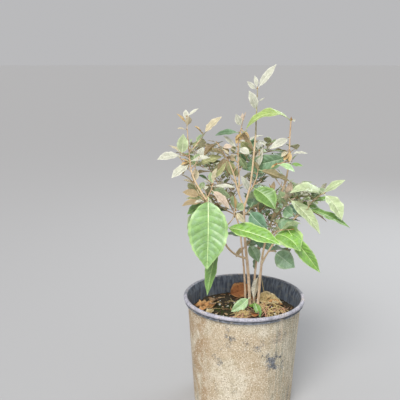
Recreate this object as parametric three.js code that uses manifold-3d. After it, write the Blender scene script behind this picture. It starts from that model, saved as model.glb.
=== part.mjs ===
// A young silverberry in a round nursery pot. Millimetres, +Z up, and the origin is at the
// middle of the pot's flat underside. -Y is the front, where the largest leaf hangs.
import * as THREE from "three";
import { mergeVertices } from "three/addons/utils/BufferGeometryUtils.js";
import Module from "manifold-3d";

const wasm = await Module();
wasm.setup();

// Pot
const POT = {
  height: 188,
  rimRadius: 100,
  footRadius: 82,
  shoulderRadius: 93,
  wall: 2,
  floor: 3,
  footEdge: 1.5,
  lipDrop: 11,
  lipRadius: 97.8,
  lipEdge: 1,
  beadRadius: 3.2,
  beadCorners: [-60, -15, 30, 75, 125, 180],
  drainHoles: 8,
  drainRadius: 6,
  drainCircle: 62,
  sides: 36,
};
const CLEARANCE = 0.3;
const HAIR = 1e-4;

// Potting soil, heaped a little round the foot of the plant
const CLUMP = { x: 15, y: 14 };
const SOIL = {
  edgeHeight: 156,
  heap: 7,
  flatRadius: 26,
  heapRadius: 62,
  lump: 1.3,
  lumpWidth: 8,
  rings: 6,
};
const GROUND = SOIL.edgeHeight + SOIL.heap;

// Leaves: a petiole, then a pointed blade folded a little along its midrib
const LEAF = {
  petioleShort: 3,
  petioleShare: 0.06,
  petioleThick: 1.3,
  fold: 12,
  thickShare: 1 / 55,
  thinnest: 0.9,
  tipThinning: 0.5,
  baseSwell: 0.82,
  roundness: 0.78,
  tipTaper: 0.35,
  tipFrom: 0.7,
};
// Where the blade is measured, for leaves up to each length
const STATIONS = [
  [38, [0.4]],
  [52, [0.2, 0.62]],
  [70, [0.13, 0.42, 0.76]],
  [Infinity, [0.08, 0.25, 0.46, 0.68, 0.87]],
];

// Directions are a heading, 0 to the right (+X) and 90 to the back (+Y), and a rise above the
// level, both in degrees. A list of them is spread evenly over the length of a limb.
const LIMBS = {
  stem_left: {
    foot: [11, 10],
    heading: [173, 193, 257],
    rise: [88, 83, 85],
    length: 173,
    thick: [5.4, 3.9],
  },
  stem_left_thin: {
    foot: [4, 19],
    heading: [130, 116, 100],
    rise: [90, 79, 63],
    length: 126,
    thick: [3.8, 2.8],
  },
  stem_right: {
    foot: [24, 8],
    heading: [350, 318, 300],
    rise: [85, 87, 82],
    length: 77,
    thick: [4.8, 4],
  },
  stem_pale: {
    foot: [19, 21],
    heading: [95, 65, 73],
    rise: [93, 76, 56],
    length: 113,
    thick: [4.2, 3.2],
  },
  bough_left: {
    on: "stem_left",
    at: 0.485,
    heading: [204, 231, 200],
    rise: [17, 67, 60],
    length: 144,
    thick: [3.4, 2.7],
  },
  bough_left_up: {
    on: "bough_left",
    at: 1,
    heading: [170, 153, 139],
    rise: [57, 56, 77],
    length: 57,
    thick: [2.6, 2.2],
  },
  bough_leader: {
    on: "stem_left",
    at: 1,
    heading: [359, 340, 328],
    rise: [72, 85, 86],
    length: 120,
    thick: [3.5, 2.6],
  },
  bough_lean: {
    on: "stem_left",
    at: 1,
    heading: [184, 198, 201],
    rise: [66, 76, 64],
    length: 81,
    thick: [3.3, 2.4],
  },
  bough_middle: {
    on: "bough_lean",
    at: 0.33,
    heading: [65, 102, 112],
    rise: [75, 74, 84],
    length: 58,
    thick: [2.6, 2.2],
  },
  bough_inner: {
    on: "stem_right",
    at: 1,
    heading: [74, -2, -29],
    rise: [72, 74, 71],
    length: 143,
    thick: [3.7, 2.9],
  },
  bough_outer: {
    on: "stem_right",
    at: 1,
    heading: [9, 0, -16],
    rise: [64, 55, 38],
    length: 117,
    thick: [3.4, 2.4],
  },
  bough_back_left: {
    on: "stem_left_thin",
    at: 1,
    heading: [110, 140, 165],
    rise: [60, 50, 62],
    length: 95,
    thick: [2.8, 2.2],
  },
  bough_back: {
    on: "stem_pale",
    at: 1,
    heading: [80, 105, 110],
    rise: [60, 66, 78],
    length: 105,
    thick: [3, 2.2],
  },
  bough_back_right: {
    on: "stem_pale",
    at: 0.8,
    heading: [40, 35, 30],
    rise: [35, 42, 40],
    length: 90,
    thick: [2.8, 2.2],
  },
};
const FLARE = { height: 10, share: 0.5 };

// Masses of foliage. The stem leaves a limb at a share of its length, each twig leaves the stem
// in the same way, and each leaf has a row: place along the shoot, heading, rise, length, width,
// arch of the midrib and roll of the blade. After them, sprouts more leaves grow by rule, up to
// leafLength long, and sideTwigs more twigs of twigLength, each with leaves of its own.
const MASSES = {
  foliage_top: {
    on: "bough_leader",
    at: 1,
    stem: { heading: [300, 280], rise: [89, 86], length: 70, thick: [2.4, 1.3] },
    leaves: [
      [1, 15, 51, 48, 12, 15, 50],
      [0.97, 194, 39, 22, 8, 25, -85],
      [1, 157, 76, 21, 7, 10, -62],
      [0.52, 198, 67, 34, 14, 25, -95],
      [0.73, 348, 25, 14, 6, -30, 20],
    ],
  },
  foliage_lean: {
    on: "bough_lean",
    at: 1,
    stem: { heading: [202, 200], rise: [56, 58], length: 36, thick: [2.2, 1.2] },
    leaves: [
      [1, 191, -43, 29, 14, 50, 55],
      [0.3, 186, -18, 47, 18, 25, -25],
      [0.5, 172, 24, 36, 9, -30, 40],
      [0.6, 250, 20, 24, 12, 40, 0],
      [0.05, 166, -50, 40, 17, 30, -68],
      [0.7, 12, 8, 20, 12, 40, 30],
      [0.2, 32, -55, 40, 15, 20, 129],
      [0.35, 123, -73, 33, 16, 15, -162],
      [0.1, 70, -61, 31, 13, 20, 148],
    ],
    sprouts: 5,
    leafLength: 36,
    seed: 21,
  },
  foliage_middle: {
    on: "bough_middle",
    at: 1,
    stem: { heading: [100, 20], rise: [80, 72], length: 52, thick: [2, 1.1] },
    leaves: [
      [0.72, 195, -4, 42, 15, 45, -25],
      [0.25, 199, 40, 33, 13, -20, -40],
      [0.27, 325, -23, 23, 15, 30, 30],
      [0.9, 204, 65, 24, 12, 10, -98],
      [0.95, 341, 73, 24, 8, 10, 30],
      [0.05, 15, -57, 28, 14, 20, 131],
      [0.55, 320, 40, 22, 11, 30, 20],
      [0.85, 5, -59, 42, 8, 15, 104],
      [0.5, 26, -35, 33, 16, 20, 117],
      [0.08, 197, -52, 22, 10, 20, -30],
      [0.3, 152, -31, 15, 12, 25, -76],
      [0.15, 36, -47, 25, 12, 20, 135],
    ],
    sprouts: 7,
    leafLength: 38,
    seed: 32,
  },
  foliage_left_top: {
    on: "bough_left_up",
    at: 1,
    stem: { heading: [110, 120], rise: [72, 86], length: 76, thick: [2, 1.1] },
    twigs: [
      {
        at: 0.28,
        heading: [10, 15],
        rise: [45, 55],
        length: 35,
        leaves: [
          [1, 10, 44, 40, 16, 25, 25],
          [1, 225, 38, 24, 15, 20, -30],
          [0.8, 330, 50, 18, 8, 15, 10],
          [0.5, 60, 30, 28, 11, 30, 0],
        ],
      },
      {
        at: 0.22,
        heading: [200, 205],
        rise: [5, 10],
        length: 14,
        leaves: [
          [1, 200, -7, 38, 16, 25, -35],
          [0.9, 296, 80, 34, 18, 15, 150],
          [0.6, 150, 25, 32, 14, 30, 0],
        ],
      },
    ],
    leaves: [
      [0.1, 333, 14, 36, 11, 30, 30],
      [1, 7, 35, 23, 7, 10, 30],
      [0.86, 195, 45, 23, 9, 15, -30],
      [0.8, 287, 62, 20, 11, -20, 0],
      [0.05, 212, -29, 38, 17, 35, -20],
      [0.12, 130, -54, 30, 14, 25, 0],
    ],
    sprouts: 8,
    leafLength: 40,
    seed: 43,
  },
  foliage_left_side: {
    on: "bough_left",
    at: 0.88,
    stem: { heading: [165, 150], rise: [42, 66], length: 50, thick: [1.9, 1.1] },
    leaves: [
      [0.5, 188, 15, 30, 14, 30, -50],
      [0.9, 220, 25, 26, 12, 20, -20],
      [0.15, 195, -48, 50, 26, 25, -10],
      [0.25, 190, -30, 34, 15, 30, -63],
    ],
    sprouts: 9,
    leafLength: 50,
    seed: 54,
  },
  foliage_front_left: {
    on: "bough_left",
    at: 1,
    stem: { heading: [330, 335], rise: [60, 72], length: 27, thick: [2.4, 1.2] },
    leaves: [
      [0.28, 266, -71, 112, 60, 28, 0],
      [1, 326, 74, 28, 12, 15, 60],
      [0.9, 339, 2, 37, 10, 20, 20],
      [0.7, 333, -41, 41, 15, 30, 25],
      [0.55, 20, -20, 37, 24, 25, 35],
      [0.95, 100, 50, 24, 10, 20, 0],
    ],
  },
  foliage_low_left: {
    on: "bough_left",
    at: 0.4,
    stem: { heading: [222, 215], rise: [-15, 0], length: 15, thick: [2, 1.6] },
    leaves: [
      [1, 240, -64, 79, 22, 20, 10],
      [0.7, 150, -18, 52, 26, 40, 0],
    ],
  },
  foliage_front: {
    on: "bough_left",
    at: 0.62,
    stem: { heading: [320, 370], rise: [15, 84], length: 42, thick: [2.1, 1.4] },
    leaves: [
      [0.2, 339, -12, 95, 36, 22, 24],
      [1, 338, -48, 24, 10, 25, 87],
      [1, 100, 40, 30, 12, 20, 0],
      [1, 18, 42, 17, 14, 25, 85],
      [1, 221, 83, 27, 6, 15, 0],
    ],
  },
  foliage_inside: {
    on: "stem_left_thin",
    at: 0.75,
    stem: { heading: [20, 60], rise: [25, 50], length: 30, thick: [1.9, 1.5] },
    leaves: [
      [0.5, 307, -44, 38, 20, 25, 25],
      [1, 315, -20, 50, 26, 35, 30],
      [0.8, 150, 0, 58, 28, 35, 0],
      [0.3, 193, -47, 26, 11, 25, -20],
    ],
    sprouts: 7,
    leafLength: 56,
    seed: 142,
  },
  foliage_fork: {
    on: "stem_left",
    at: 0.93,
    stem: { heading: [310, 330], rise: [25, 60], length: 16, thick: [1.8, 1.4] },
    leaves: [
      [0.7, 326, -35, 43, 30, 25, 81],
      [1, 75, 10, 46, 22, 35, 0],
    ],
    sprouts: 4,
    leafLength: 46,
    seed: 153,
  },
  foliage_heart: {
    on: "bough_leader",
    at: 0.2,
    stem: { heading: [15, 20], rise: [50, 84], length: 42, thick: [2, 1.4] },
    twigs: [
      {
        at: 1,
        heading: [75, 75],
        rise: [72, 84],
        length: 30,
        leaves: [
          [1, 9, -9, 13, 12, 30, 20],
          [0.95, 135, 60, 17, 10, 15, 0],
          [0.6, 334, 67, 11, 5, 10, 20],
        ],
      },
    ],
    leaves: [
      [0.3, 320, -34, 53, 34, 30, 30],
      [1, 345, -18, 55, 22, 10, -45],
      [0.6, 70, 0, 44, 20, 35, 0],
      [0.95, 95, 35, 30, 13, 30, 0],
      [1, 40, 74, 36, 15, 20, 0],
      [0.08, 209, 59, 32, 11, 20, -99],
    ],
    sprouts: 5,
    leafLength: 48,
    seed: 164,
  },
  foliage_right_low: {
    on: "bough_outer",
    at: 0.32,
    stem: { heading: [250, 300, 350], rise: [70, 40, 0], length: 60, thick: [2.2, 1.6] },
    leaves: [
      [0.42, 317, -20, 53, 48, 80, 20],
      [0.9, 2, -53, 91, 24, 20, 109],
      [0.4, 12, 24, 44, 32, 40, 57],
    ],
    sprouts: 4,
    leafLength: 50,
    seed: 175,
  },
  foliage_low_right: {
    on: "bough_outer",
    at: 0.2,
    stem: { heading: [10, 0], rise: [5, -5], length: 9, thick: [2, 1.7] },
    leaves: [
      [1, 326, -28, 44, 32, 30, 73],
      [0.8, 50, -15, 56, 28, 35, 0],
    ],
  },
  foliage_right: {
    on: "bough_inner",
    at: 0.55,
    stem: { heading: [330, 345], rise: [40, 70], length: 44, thick: [2.2, 1.4] },
    twigs: [
      {
        at: 0.3,
        heading: [170, 160],
        rise: [62, 80],
        length: 32,
        leaves: [
          [1, 200, 70, 20, 7, 10, 0],
          [1, 60, 76, 22, 8, 10, 0],
          [0.9, 320, 50, 26, 11, 20, 20],
          [0.75, 340, 18, 32, 14, 30, 20],
        ],
      },
    ],
    leaves: [
      [1, 321, -40, 78, 24, 25, 20],
      [0.6, 311, -25, 24, 22, 25, 77],
      [0.75, 292, 62, 30, 12, 10, 0],
      [0.95, 60, 65, 30, 11, 10, 0],
      [1, 294, 40, 26, 14, 20, 0],
      [0.95, 20, 55, 30, 12, 20, 0],
      [0.35, 22, -15, 56, 28, 35, 30],
      [0.7, 214, 63, 28, 20, 25, -109],
      [0.9, 207, 72, 28, 8, 15, -10],
    ],
    sprouts: 8,
    leafLength: 50,
    seed: 65,
  },
  foliage_right_top: {
    on: "bough_inner",
    at: 1,
    stem: { heading: [332, 304, 286], rise: [78, 91, 85], length: 98, thick: [2.8, 2.3] },
    twigs: [
      {
        at: 0.36,
        heading: [214, 214],
        rise: [-14, -2],
        length: 25,
        leaves: [
          [1, 343, -21, 30, 14, 40, 25],
          [0.9, 190, -29, 13, 7, 20, -10],
        ],
      },
    ],
    leaves: [
      [0.72, 200, -24, 38, 13, 50, -46],
      [0.47, 334, 5, 30, 9, 15, 15],
      [0.42, 163, -17, 80, 30, 25, -104],
      [0.3, 350, -6, 23, 9, 20, 30],
      [0.6, 67, -15, 50, 22, 30, 0],
      [0.33, 110, 5, 56, 26, 40, 0],
      [0.45, 157, 10, 31, 12, 25, 0],
      [1, 194, -9, 75, 24, 110, -22],
      [1, 330, 18, 8, 5, 15, 101],
    ],
  },
  foliage_far: {
    on: "bough_outer",
    at: 1,
    stem: { heading: [355, 340], rise: [66, 28], length: 39, thick: [2, 1.4] },
    leaves: [
      [1, 201, 5, 61, 24, 75, -20],
      [1, 314, -46, 52, 25, 45, 20],
      [0.95, 348, 35, 42, 18, 25, 28],
      [0.06, 335, -19, 74, 17, 30, 22],
      [0.02, 348, -30, 38, 17, 25, -10],
      [0.9, 130, -10, 40, 18, 40, 0],
      [0.5, 65, 15, 46, 22, 35, 0],
    ],
  },
  foliage_back_left: {
    on: "bough_back_left",
    at: 1,
    stem: { heading: [160, 175], rise: [55, 75], length: 60, thick: [2.1, 1.2] },
    sprouts: 10,
    leafLength: 64,
    sideTwigs: 4,
    twigLength: 46,
    seed: 76,
  },
  foliage_back: {
    on: "bough_back",
    at: 1,
    stem: { heading: [90, 70], rise: [80, 76], length: 62, thick: [2.1, 1.2] },
    sprouts: 10,
    leafLength: 60,
    sideTwigs: 4,
    twigLength: 44,
    seed: 87,
  },
  foliage_back_right: {
    on: "bough_back_right",
    at: 1,
    stem: { heading: [15, 0], rise: [35, 45], length: 46, thick: [2.1, 1.2] },
    top: 365,
    sprouts: 10,
    leafLength: 66,
    sideTwigs: 4,
    twigLength: 42,
    seed: 98,
  },
  foliage_back_low: {
    on: "bough_back",
    at: 0.22,
    stem: { heading: [85, 95], rise: [20, 40], length: 58, thick: [2.1, 1.3] },
    sprouts: 11,
    leafLength: 78,
    sideTwigs: 3,
    twigLength: 44,
    seed: 109,
  },
  foliage_back_side: {
    on: "bough_back_left",
    at: 0.3,
    stem: { heading: [175, 185], rise: [25, 45], length: 64, thick: [2.1, 1.3] },
    sprouts: 11,
    leafLength: 74,
    sideTwigs: 3,
    twigLength: 42,
    seed: 131,
  },
};

// The rule that leaves and twigs grow by. A pair is a middle value and how far it spreads.
const RULE = {
  turn: 137.5,
  turnError: [0, 24],
  firstLeaf: 0.12,
  tipRise: 62,
  baseRise: -28,
  riseError: [0, 20],
  youngShare: 0.34,
  size: [1, 0.3],
  slender: [0.41, 0.14],
  arch: [38, 40],
  roll: [0, 50],
  twigsFrom: 0.15,
  twigsTo: 0.8,
  twigRise: [22, 25],
  twigLift: 25,
  twigSway: [0, 20],
  twigSize: [1, 0.4],
  twigThin: 0.8,
  twigLeaves: 6,
  twigLeafShare: 0.85,
};
// The room that they keep
const ROOM = {
  ribAt: [0.3, 0.55, 0.8, 1],
  massCentre: 0.6,
  crowding: 0.14,
  limb: 2,
  limbShare: 0.2,
  crownRadius: 150,
  crownTop: 440,
  bottom: POT.height + 6,
  frontOpenBelow: 262,
  frontOpenBefore: 25,
};
const REST = { reach: 40, within: 0.02 };
const LIMB_STEPS = 8;
const SHOOT_STEPS = 4;
const LIMB_SIDES = 6;
const SHOOT_SIDES = 3;

// Dead leaves that lie on the soil: base, heading, rise, length, width, arch and roll
const FALLEN = {
  fallen_leaf_tan: [-81, 14, 12, 0, 36, 26, -55, 10],
  fallen_leaf_rust: [-24, 50, 14, 20, 42, 30, -40, 48],
  fallen_leaf_pale: [11, 4, 204, -28, 41, 19, 20, -56],
  fallen_leaf_green: [17, 3, 283, -22, 38, 13, 24, 0],
  fallen_leaf_buff: [20, 33, 350, -2, 44, 24, 30, 43],
  fallen_leaf_brown: [-28, -37, 4, 6, 36, 22, -45, 0],
};

// Colour and roughness
const FINISHES = {
  pot: [0x8c7b5e, 0.85],
  soil: [0x3a3022, 1],
  bark: [0xb08a62, 0.8],
  young: [0xc9cfae, 0.6],
  mature: [0x6f9a50, 0.5],
  dead: [0xa9845a, 0.9],
};
const YOUNG_MASSES = /top|lean|middle|far/;

// Maths

const radians = (degrees) => (degrees * Math.PI) / 180;
const mix = (a, b, share) => a + (b - a) * share;

function direction(heading, rise) {
  const [h, r] = [radians(heading), radians(rise)];
  return new THREE.Vector3(
    Math.cos(r) * Math.cos(h),
    Math.cos(r) * Math.sin(h),
    Math.sin(r),
  );
}

// A value from a short list that is spread evenly over 0 to 1.
function spread(list, share) {
  const place = share * (list.length - 1);
  const before = Math.min(Math.floor(place), list.length - 2);
  return mix(list[before], list[before + 1], place - before);
}

// The same run of numbers between 0 and 1 for the same seed.
function seeded(seed) {
  let state = seed;
  return () => {
    state = (state * 1664525 + 1013904223) % 4294967296;
    return state / 4294967296;
  };
}

const draw = ([middle, spreading], random) => middle + (random() - 0.5) * spreading;

// Points along a shoot that sets out from start.
function walk(start, { heading, rise, length }, steps) {
  const points = [start.clone()];
  for (let i = 0; i < steps; i++) {
    const share = (i + 0.5) / steps;
    const step = direction(spread(heading, share), spread(rise, share));
    points.push(points[i].clone().addScaledVector(step, length / steps));
  }
  return points;
}

function pointAt(points, share) {
  const place = Math.min(share, 1) * (points.length - 1);
  const before = Math.min(Math.floor(place), points.length - 2);
  return points[before].clone().lerp(points[before + 1], place - before);
}

function distanceToPath(point, points) {
  const line = new THREE.Line3();
  const nearest = new THREE.Vector3();
  let least = Infinity;
  for (let i = 0; i + 1 < points.length; i++) {
    line.set(points[i], points[i + 1]).closestPointToPoint(point, true, nearest);
    least = Math.min(least, nearest.distanceTo(point));
  }
  return least;
}

// Growth: limbs, then the shoots and leaves of each mass

function growLimbs() {
  const limbs = {};
  for (const [name, limb] of Object.entries(LIMBS)) {
    const start = limb.on
      ? pointAt(limbs[limb.on].points, limb.at)
      : new THREE.Vector3(...limb.foot, GROUND + CLEARANCE);
    limbs[name] = { ...limb, points: walk(start, limb, LIMB_STEPS) };
  }
  return limbs;
}

// A leaf's frame: where its base is, the line to its tip, and the way its upper side faces.
function placeLeaf(base, [heading, rise, length, width, arch, roll]) {
  const chord = direction(heading, rise);
  const face = direction(heading, rise + 90).applyAxisAngle(chord, radians(roll));
  return { base, chord, face, length, width, arch };
}

// A point on the midrib, an arc that bends by the leaf's arch from base to tip.
function midrib(leaf, share) {
  const bend = radians(leaf.arch || 1);
  const angle = bend * (0.5 - share);
  const scale = leaf.length / (2 * Math.sin(bend / 2));
  const along = (Math.sin(bend / 2) - Math.sin(angle)) * scale;
  const above = (Math.cos(angle) - Math.cos(bend / 2)) * scale;
  return {
    point: leaf.base
      .clone()
      .addScaledVector(leaf.chord, along)
      .addScaledVector(leaf.face, above),
    normal: leaf.face
      .clone()
      .multiplyScalar(Math.cos(angle))
      .addScaledVector(leaf.chord, -Math.sin(angle)),
    tangent: leaf.chord
      .clone()
      .multiplyScalar(Math.cos(angle))
      .addScaledVector(leaf.face, Math.sin(angle)),
  };
}

const ribPoints = (leaf) => ROOM.ribAt.map((share) => midrib(leaf, share).point);

// Whether a tip is nearer to the middle of another mass than to that of its own.
function strays(tip, mass, crown) {
  const homeward = tip.distanceTo(mass.centre);
  return crown.masses.some((other) => tip.distanceTo(other.centre) < homeward);
}

// Whether a leaf that grows by rule stays in its mass's space and clear of what is there.
function hasRoom(leaf, mass, crown) {
  const rib = ribPoints(leaf);
  const tip = rib.at(-1);
  if (strays(tip, mass, crown)) return false;
  if (Math.hypot(tip.x - CLUMP.x, tip.y - CLUMP.y) > ROOM.crownRadius) return false;
  if (tip.z > (mass.top || ROOM.crownTop)) return false;
  if (rib.some((p) => p.z < ROOM.frontOpenBelow && p.y < ROOM.frontOpenBefore)) return false;
  if (rib.some((p) => p.z < ROOM.bottom)) return false;
  const berth = ROOM.limb + leaf.width * ROOM.limbShare;
  for (const limb of Object.values(crown.limbs)) {
    if (rib.some((p) => distanceToPath(p, limb.points) < berth)) return false;
  }
  return crown.leaves.every((other) => {
    const apart = (leaf.width + other.width) * ROOM.crowding;
    return other.rib.every((q) => rib.every((p) => p.distanceTo(q) > apart));
  });
}

function keepLeaf(leaf, shoot, crown) {
  leaf.rib = ribPoints(leaf);
  shoot.leaves.push(leaf);
  crown.leaves.push(leaf);
}

// Leaves that turn round a shoot, small and upright at its tip, long and hanging at its base.
function sproutLeaves(shoot, count, longest, random, mass, crown) {
  const first = random() * 360;
  for (let i = 0; i < count; i++) {
    const at = mix(RULE.firstLeaf, 1, (i + 0.5) / count);
    const age = 1 - at;
    const heading = first + i * RULE.turn + draw(RULE.turnError, random);
    const rise = mix(RULE.tipRise, RULE.baseRise, age) + draw(RULE.riseError, random);
    const grown = mix(RULE.youngShare, 1, Math.sqrt(age));
    const length = longest * grown * draw(RULE.size, random);
    const width = length * draw(RULE.slender, random);
    const row = [heading, rise, length, width, draw(RULE.arch, random), draw(RULE.roll, random)];
    const leaf = placeLeaf(pointAt(shoot.points, at), row);
    leaf.byRule = true;
    if (hasRoom(leaf, mass, crown)) keepLeaf(leaf, shoot, crown);
  }
}

// A shoot with the leaves that its own rows name.
function growShoot(start, shape, crown) {
  const shoot = { points: walk(start, shape, SHOOT_STEPS), thick: shape.thick, leaves: [] };
  for (const [at, ...row] of shape.leaves || []) {
    keepLeaf(placeLeaf(pointAt(shoot.points, at), row), shoot, crown);
  }
  return shoot;
}

// Twigs of a mass: those it names, then those that branch from its stem by rule.
function growTwigs(mass, random, crown) {
  const [stem] = mass.shoots;
  const thick = [stem.thick[0] * RULE.twigThin, stem.thick[1]];
  for (const twig of mass.twigs || []) {
    mass.shoots.push(growShoot(pointAt(stem.points, twig.at), { ...twig, thick }, crown));
  }
  const first = random() * 360;
  for (let i = 0; i < (mass.sideTwigs || 0); i++) {
    const at = mix(RULE.twigsFrom, RULE.twigsTo, (i + 0.5) / mass.sideTwigs);
    const heading = first + i * RULE.turn + draw(RULE.turnError, random);
    const rise = draw(RULE.twigRise, random);
    const shape = {
      heading: [heading, heading + draw(RULE.twigSway, random)],
      rise: [rise, rise + RULE.twigLift],
      length: mass.twigLength * draw(RULE.twigSize, random),
      thick,
    };
    const twig = growShoot(pointAt(stem.points, at), shape, crown);
    if (strays(twig.points.at(-1), mass, crown)) continue;
    mass.shoots.push(twig);
    const longest = mass.leafLength * RULE.twigLeafShare;
    sproutLeaves(twig, RULE.twigLeaves, longest, random, mass, crown);
  }
}

function growCrown() {
  const crown = { limbs: growLimbs(), masses: [], leaves: [] };
  for (const [name, plan] of Object.entries(MASSES)) {
    const start = pointAt(crown.limbs[plan.on].points, plan.at);
    const stem = growShoot(start, { ...plan.stem, leaves: plan.leaves }, crown);
    const centre = pointAt(stem.points, ROOM.massCentre);
    crown.masses.push({ ...plan, name, centre, shoots: [stem] });
  }
  for (const mass of crown.masses) {
    const random = seeded(mass.seed || 1);
    growTwigs(mass, random, crown);
    sproutLeaves(mass.shoots[0], mass.sprouts || 0, mass.leafLength, random, mass, crown);
  }
  return crown;
}

// Solids

function solid(geometry) {
  const bare = geometry.clone();
  bare.deleteAttribute("normal");
  bare.deleteAttribute("uv");
  const merged = mergeVertices(bare, HAIR);
  const corners = merged.index.array;
  const triVerts = [];
  for (let i = 0; i < corners.length; i += 3) {
    const [a, b, c] = corners.subarray(i, i + 3);
    if (a !== b && b !== c && c !== a) triVerts.push(a, b, c);
  }
  return new wasm.Manifold(
    new wasm.Mesh({
      numProp: 3,
      vertProperties: new Float32Array(merged.attributes.position.array),
      triVerts: new Uint32Array(triVerts),
    }),
  );
}

function geometryOf(body) {
  const mesh = body.getMesh();
  const geometry = new THREE.BufferGeometry();
  geometry.setAttribute("position", new THREE.BufferAttribute(mesh.vertProperties, 3));
  geometry.setIndex(new THREE.BufferAttribute(mesh.triVerts, 1));
  geometry.computeVertexNormals();
  return geometry;
}

// The largest piece alone, so that no scrap stays loose and no hollow stays sealed.
function mainPiece(body) {
  const pieces = body.decompose();
  return pieces.reduce((best, piece) => (piece.volume() > best.volume() ? piece : best));
}

// A join or a cut that frees the solid it starts from.
function changed(body, method, tool) {
  const result = body[method](tool);
  result.numTri();
  body.delete();
  return result;
}

function overlaps(a, b) {
  const [boxA, boxB] = [a.boundingBox(), b.boundingBox()];
  if ([0, 1, 2].some((k) => boxA.max[k] < boxB.min[k] || boxB.max[k] < boxA.min[k])) return false;
  const common = a.intersect(b);
  const shared = common.volume() > HAIR;
  common.delete();
  return shared;
}

// A closed skin over rings of points, each ring counter-clockwise about the way of travel. A
// tip closes the far end to a point.
function loft(rings, tip) {
  const size = rings[0].length;
  const points = rings.flat();
  const faces = [];
  for (let i = 1; i < size - 1; i++) faces.push(0, i + 1, i);
  for (let k = 0; k + 1 < rings.length; k++) {
    for (let i = 0; i < size; i++) {
      const [a, b] = [k * size + i, k * size + ((i + 1) % size)];
      faces.push(a, b, b + size, a, b + size, a + size);
    }
  }
  const last = (rings.length - 1) * size;
  if (tip) points.push(tip);
  for (let i = 0; i < size; i++) {
    if (tip) faces.push(last + i, last + ((i + 1) % size), points.length - 1);
    else if (i > 0 && i < size - 1) faces.push(last, last + i, last + i + 1);
  }
  const geometry = new THREE.BufferGeometry().setFromPoints(points);
  geometry.setIndex(faces);
  return geometry;
}

// A tapering tube with flat ends. The radius comes from a share of the length. A level foot
// gives the first ring flat on the ground.
function tube(points, radiusAt, sides, levelFoot) {
  const up = new THREE.Vector3(0, 0, 1);
  let across = new THREE.Vector3(1, 0, 0);
  const rings = points.map((point, i) => {
    const before = points[Math.max(i - 1, 0)];
    const after = points[Math.min(i + 1, points.length - 1)];
    const way = i === 0 && levelFoot ? up : after.clone().sub(before).normalize();
    across = across.clone().addScaledVector(way, -across.dot(way)).normalize();
    const round = new THREE.Vector3().crossVectors(way, across);
    const radius = radiusAt(i / (points.length - 1));
    return Array.from({ length: sides }, (_, k) => {
      const turn = (2 * Math.PI * k) / sides;
      return point
        .clone()
        .addScaledVector(across, radius * Math.cos(turn))
        .addScaledVector(round, radius * Math.sin(turn));
    });
  });
  return loft(rings);
}

function limbTube(limb, growth) {
  const flare = (share) =>
    limb.foot ? FLARE.share * Math.max(0, 1 - (share * limb.length) / FLARE.height) : 0;
  const radiusAt = (share) => (mix(...limb.thick, share) / 2) * (1 + flare(share)) + growth;
  return solid(tube(limb.points, radiusAt, LIMB_SIDES, Boolean(limb.foot)));
}

// Half the blade's width, as a share of half its greatest width.
function outline(share) {
  const taper = 1 - LEAF.tipTaper * THREE.MathUtils.smoothstep(share, LEAF.tipFrom, 1);
  return Math.pow(Math.sin(Math.PI * Math.pow(share, LEAF.baseSwell)), LEAF.roundness) * taper;
}

function leafRings(leaf) {
  const petiole = LEAF.petioleShort / leaf.length + LEAF.petioleShare;
  const [, stations] = STATIONS.find(([longest]) => leaf.length <= longest);
  const sections = [
    [0, LEAF.petioleThick / 2],
    [petiole, LEAF.petioleThick / 2],
    ...stations.map((share) => [
      mix(petiole, 1, share),
      (outline(share) * leaf.width) / 2,
      share,
    ]),
  ];
  const thickest = Math.max(leaf.length * LEAF.thickShare, LEAF.thinnest) / 2;
  return sections.map(([share, half, blade]) => {
    const { point, normal, tangent } = midrib(leaf, share);
    const side = new THREE.Vector3().crossVectors(tangent, normal);
    const lift = blade ? half * Math.tan(radians(LEAF.fold)) : 0;
    const deep = blade ? thickest * mix(1, LEAF.tipThinning, blade) : LEAF.petioleThick / 2;
    const corner = (across, above) =>
      point.clone().addScaledVector(side, across).addScaledVector(normal, above);
    return [corner(0, deep), corner(half, lift), corner(0, -deep), corner(-half, lift)];
  });
}

const leafSolid = (leaf) => solid(loft(leafRings(leaf), midrib(leaf, 1).point));
const bladeSolid = (leaf) => solid(loft(leafRings(leaf).slice(1), midrib(leaf, 1).point));

// Pot and soil

// A profile of [radius, height] turned round the pot's axis.
function turned(profile, sides) {
  const points = profile.map(([radius, height]) => new THREE.Vector2(radius, height));
  return solid(new THREE.LatheGeometry(points, sides).rotateX(Math.PI / 2));
}

const innerRadius = (height) =>
  mix(
    POT.footRadius - POT.wall,
    POT.shoulderRadius - POT.wall,
    (height - POT.floor) / (POT.height - POT.lipDrop - POT.floor),
  );

function makePot() {
  const skirt = POT.height - POT.lipDrop;
  const beadRadial = POT.rimRadius - POT.beadRadius;
  const beadHeight = POT.height - POT.beadRadius;
  const bead = POT.beadCorners.map((degrees) => [
    beadRadial + POT.beadRadius * Math.cos(radians(degrees)),
    beadHeight + POT.beadRadius * Math.sin(radians(degrees)),
  ]);
  const profile = [
    [0, 0],
    [POT.footRadius - POT.footEdge, 0],
    [POT.footRadius, POT.footEdge],
    [POT.shoulderRadius, skirt],
    [POT.lipRadius - POT.lipEdge, skirt],
    [POT.lipRadius, skirt + POT.lipEdge],
    [POT.lipRadius, beadHeight - POT.beadRadius - POT.lipEdge],
    ...bead,
    [innerRadius(skirt), skirt],
    [innerRadius(POT.floor), POT.floor],
    [0, POT.floor],
  ];
  let pot = turned(profile, POT.sides);
  const drill = new THREE.CylinderGeometry(POT.drainRadius, POT.drainRadius, 4 * POT.floor, 12);
  drill.rotateX(Math.PI / 2);
  for (let i = 0; i < POT.drainHoles; i++) {
    const turn = (2 * Math.PI * i) / POT.drainHoles;
    const hole = drill.clone();
    hole.translate(POT.drainCircle * Math.cos(turn), POT.drainCircle * Math.sin(turn), 0);
    pot = changed(pot, "subtract", solid(hole));
  }
  return pot;
}

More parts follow.
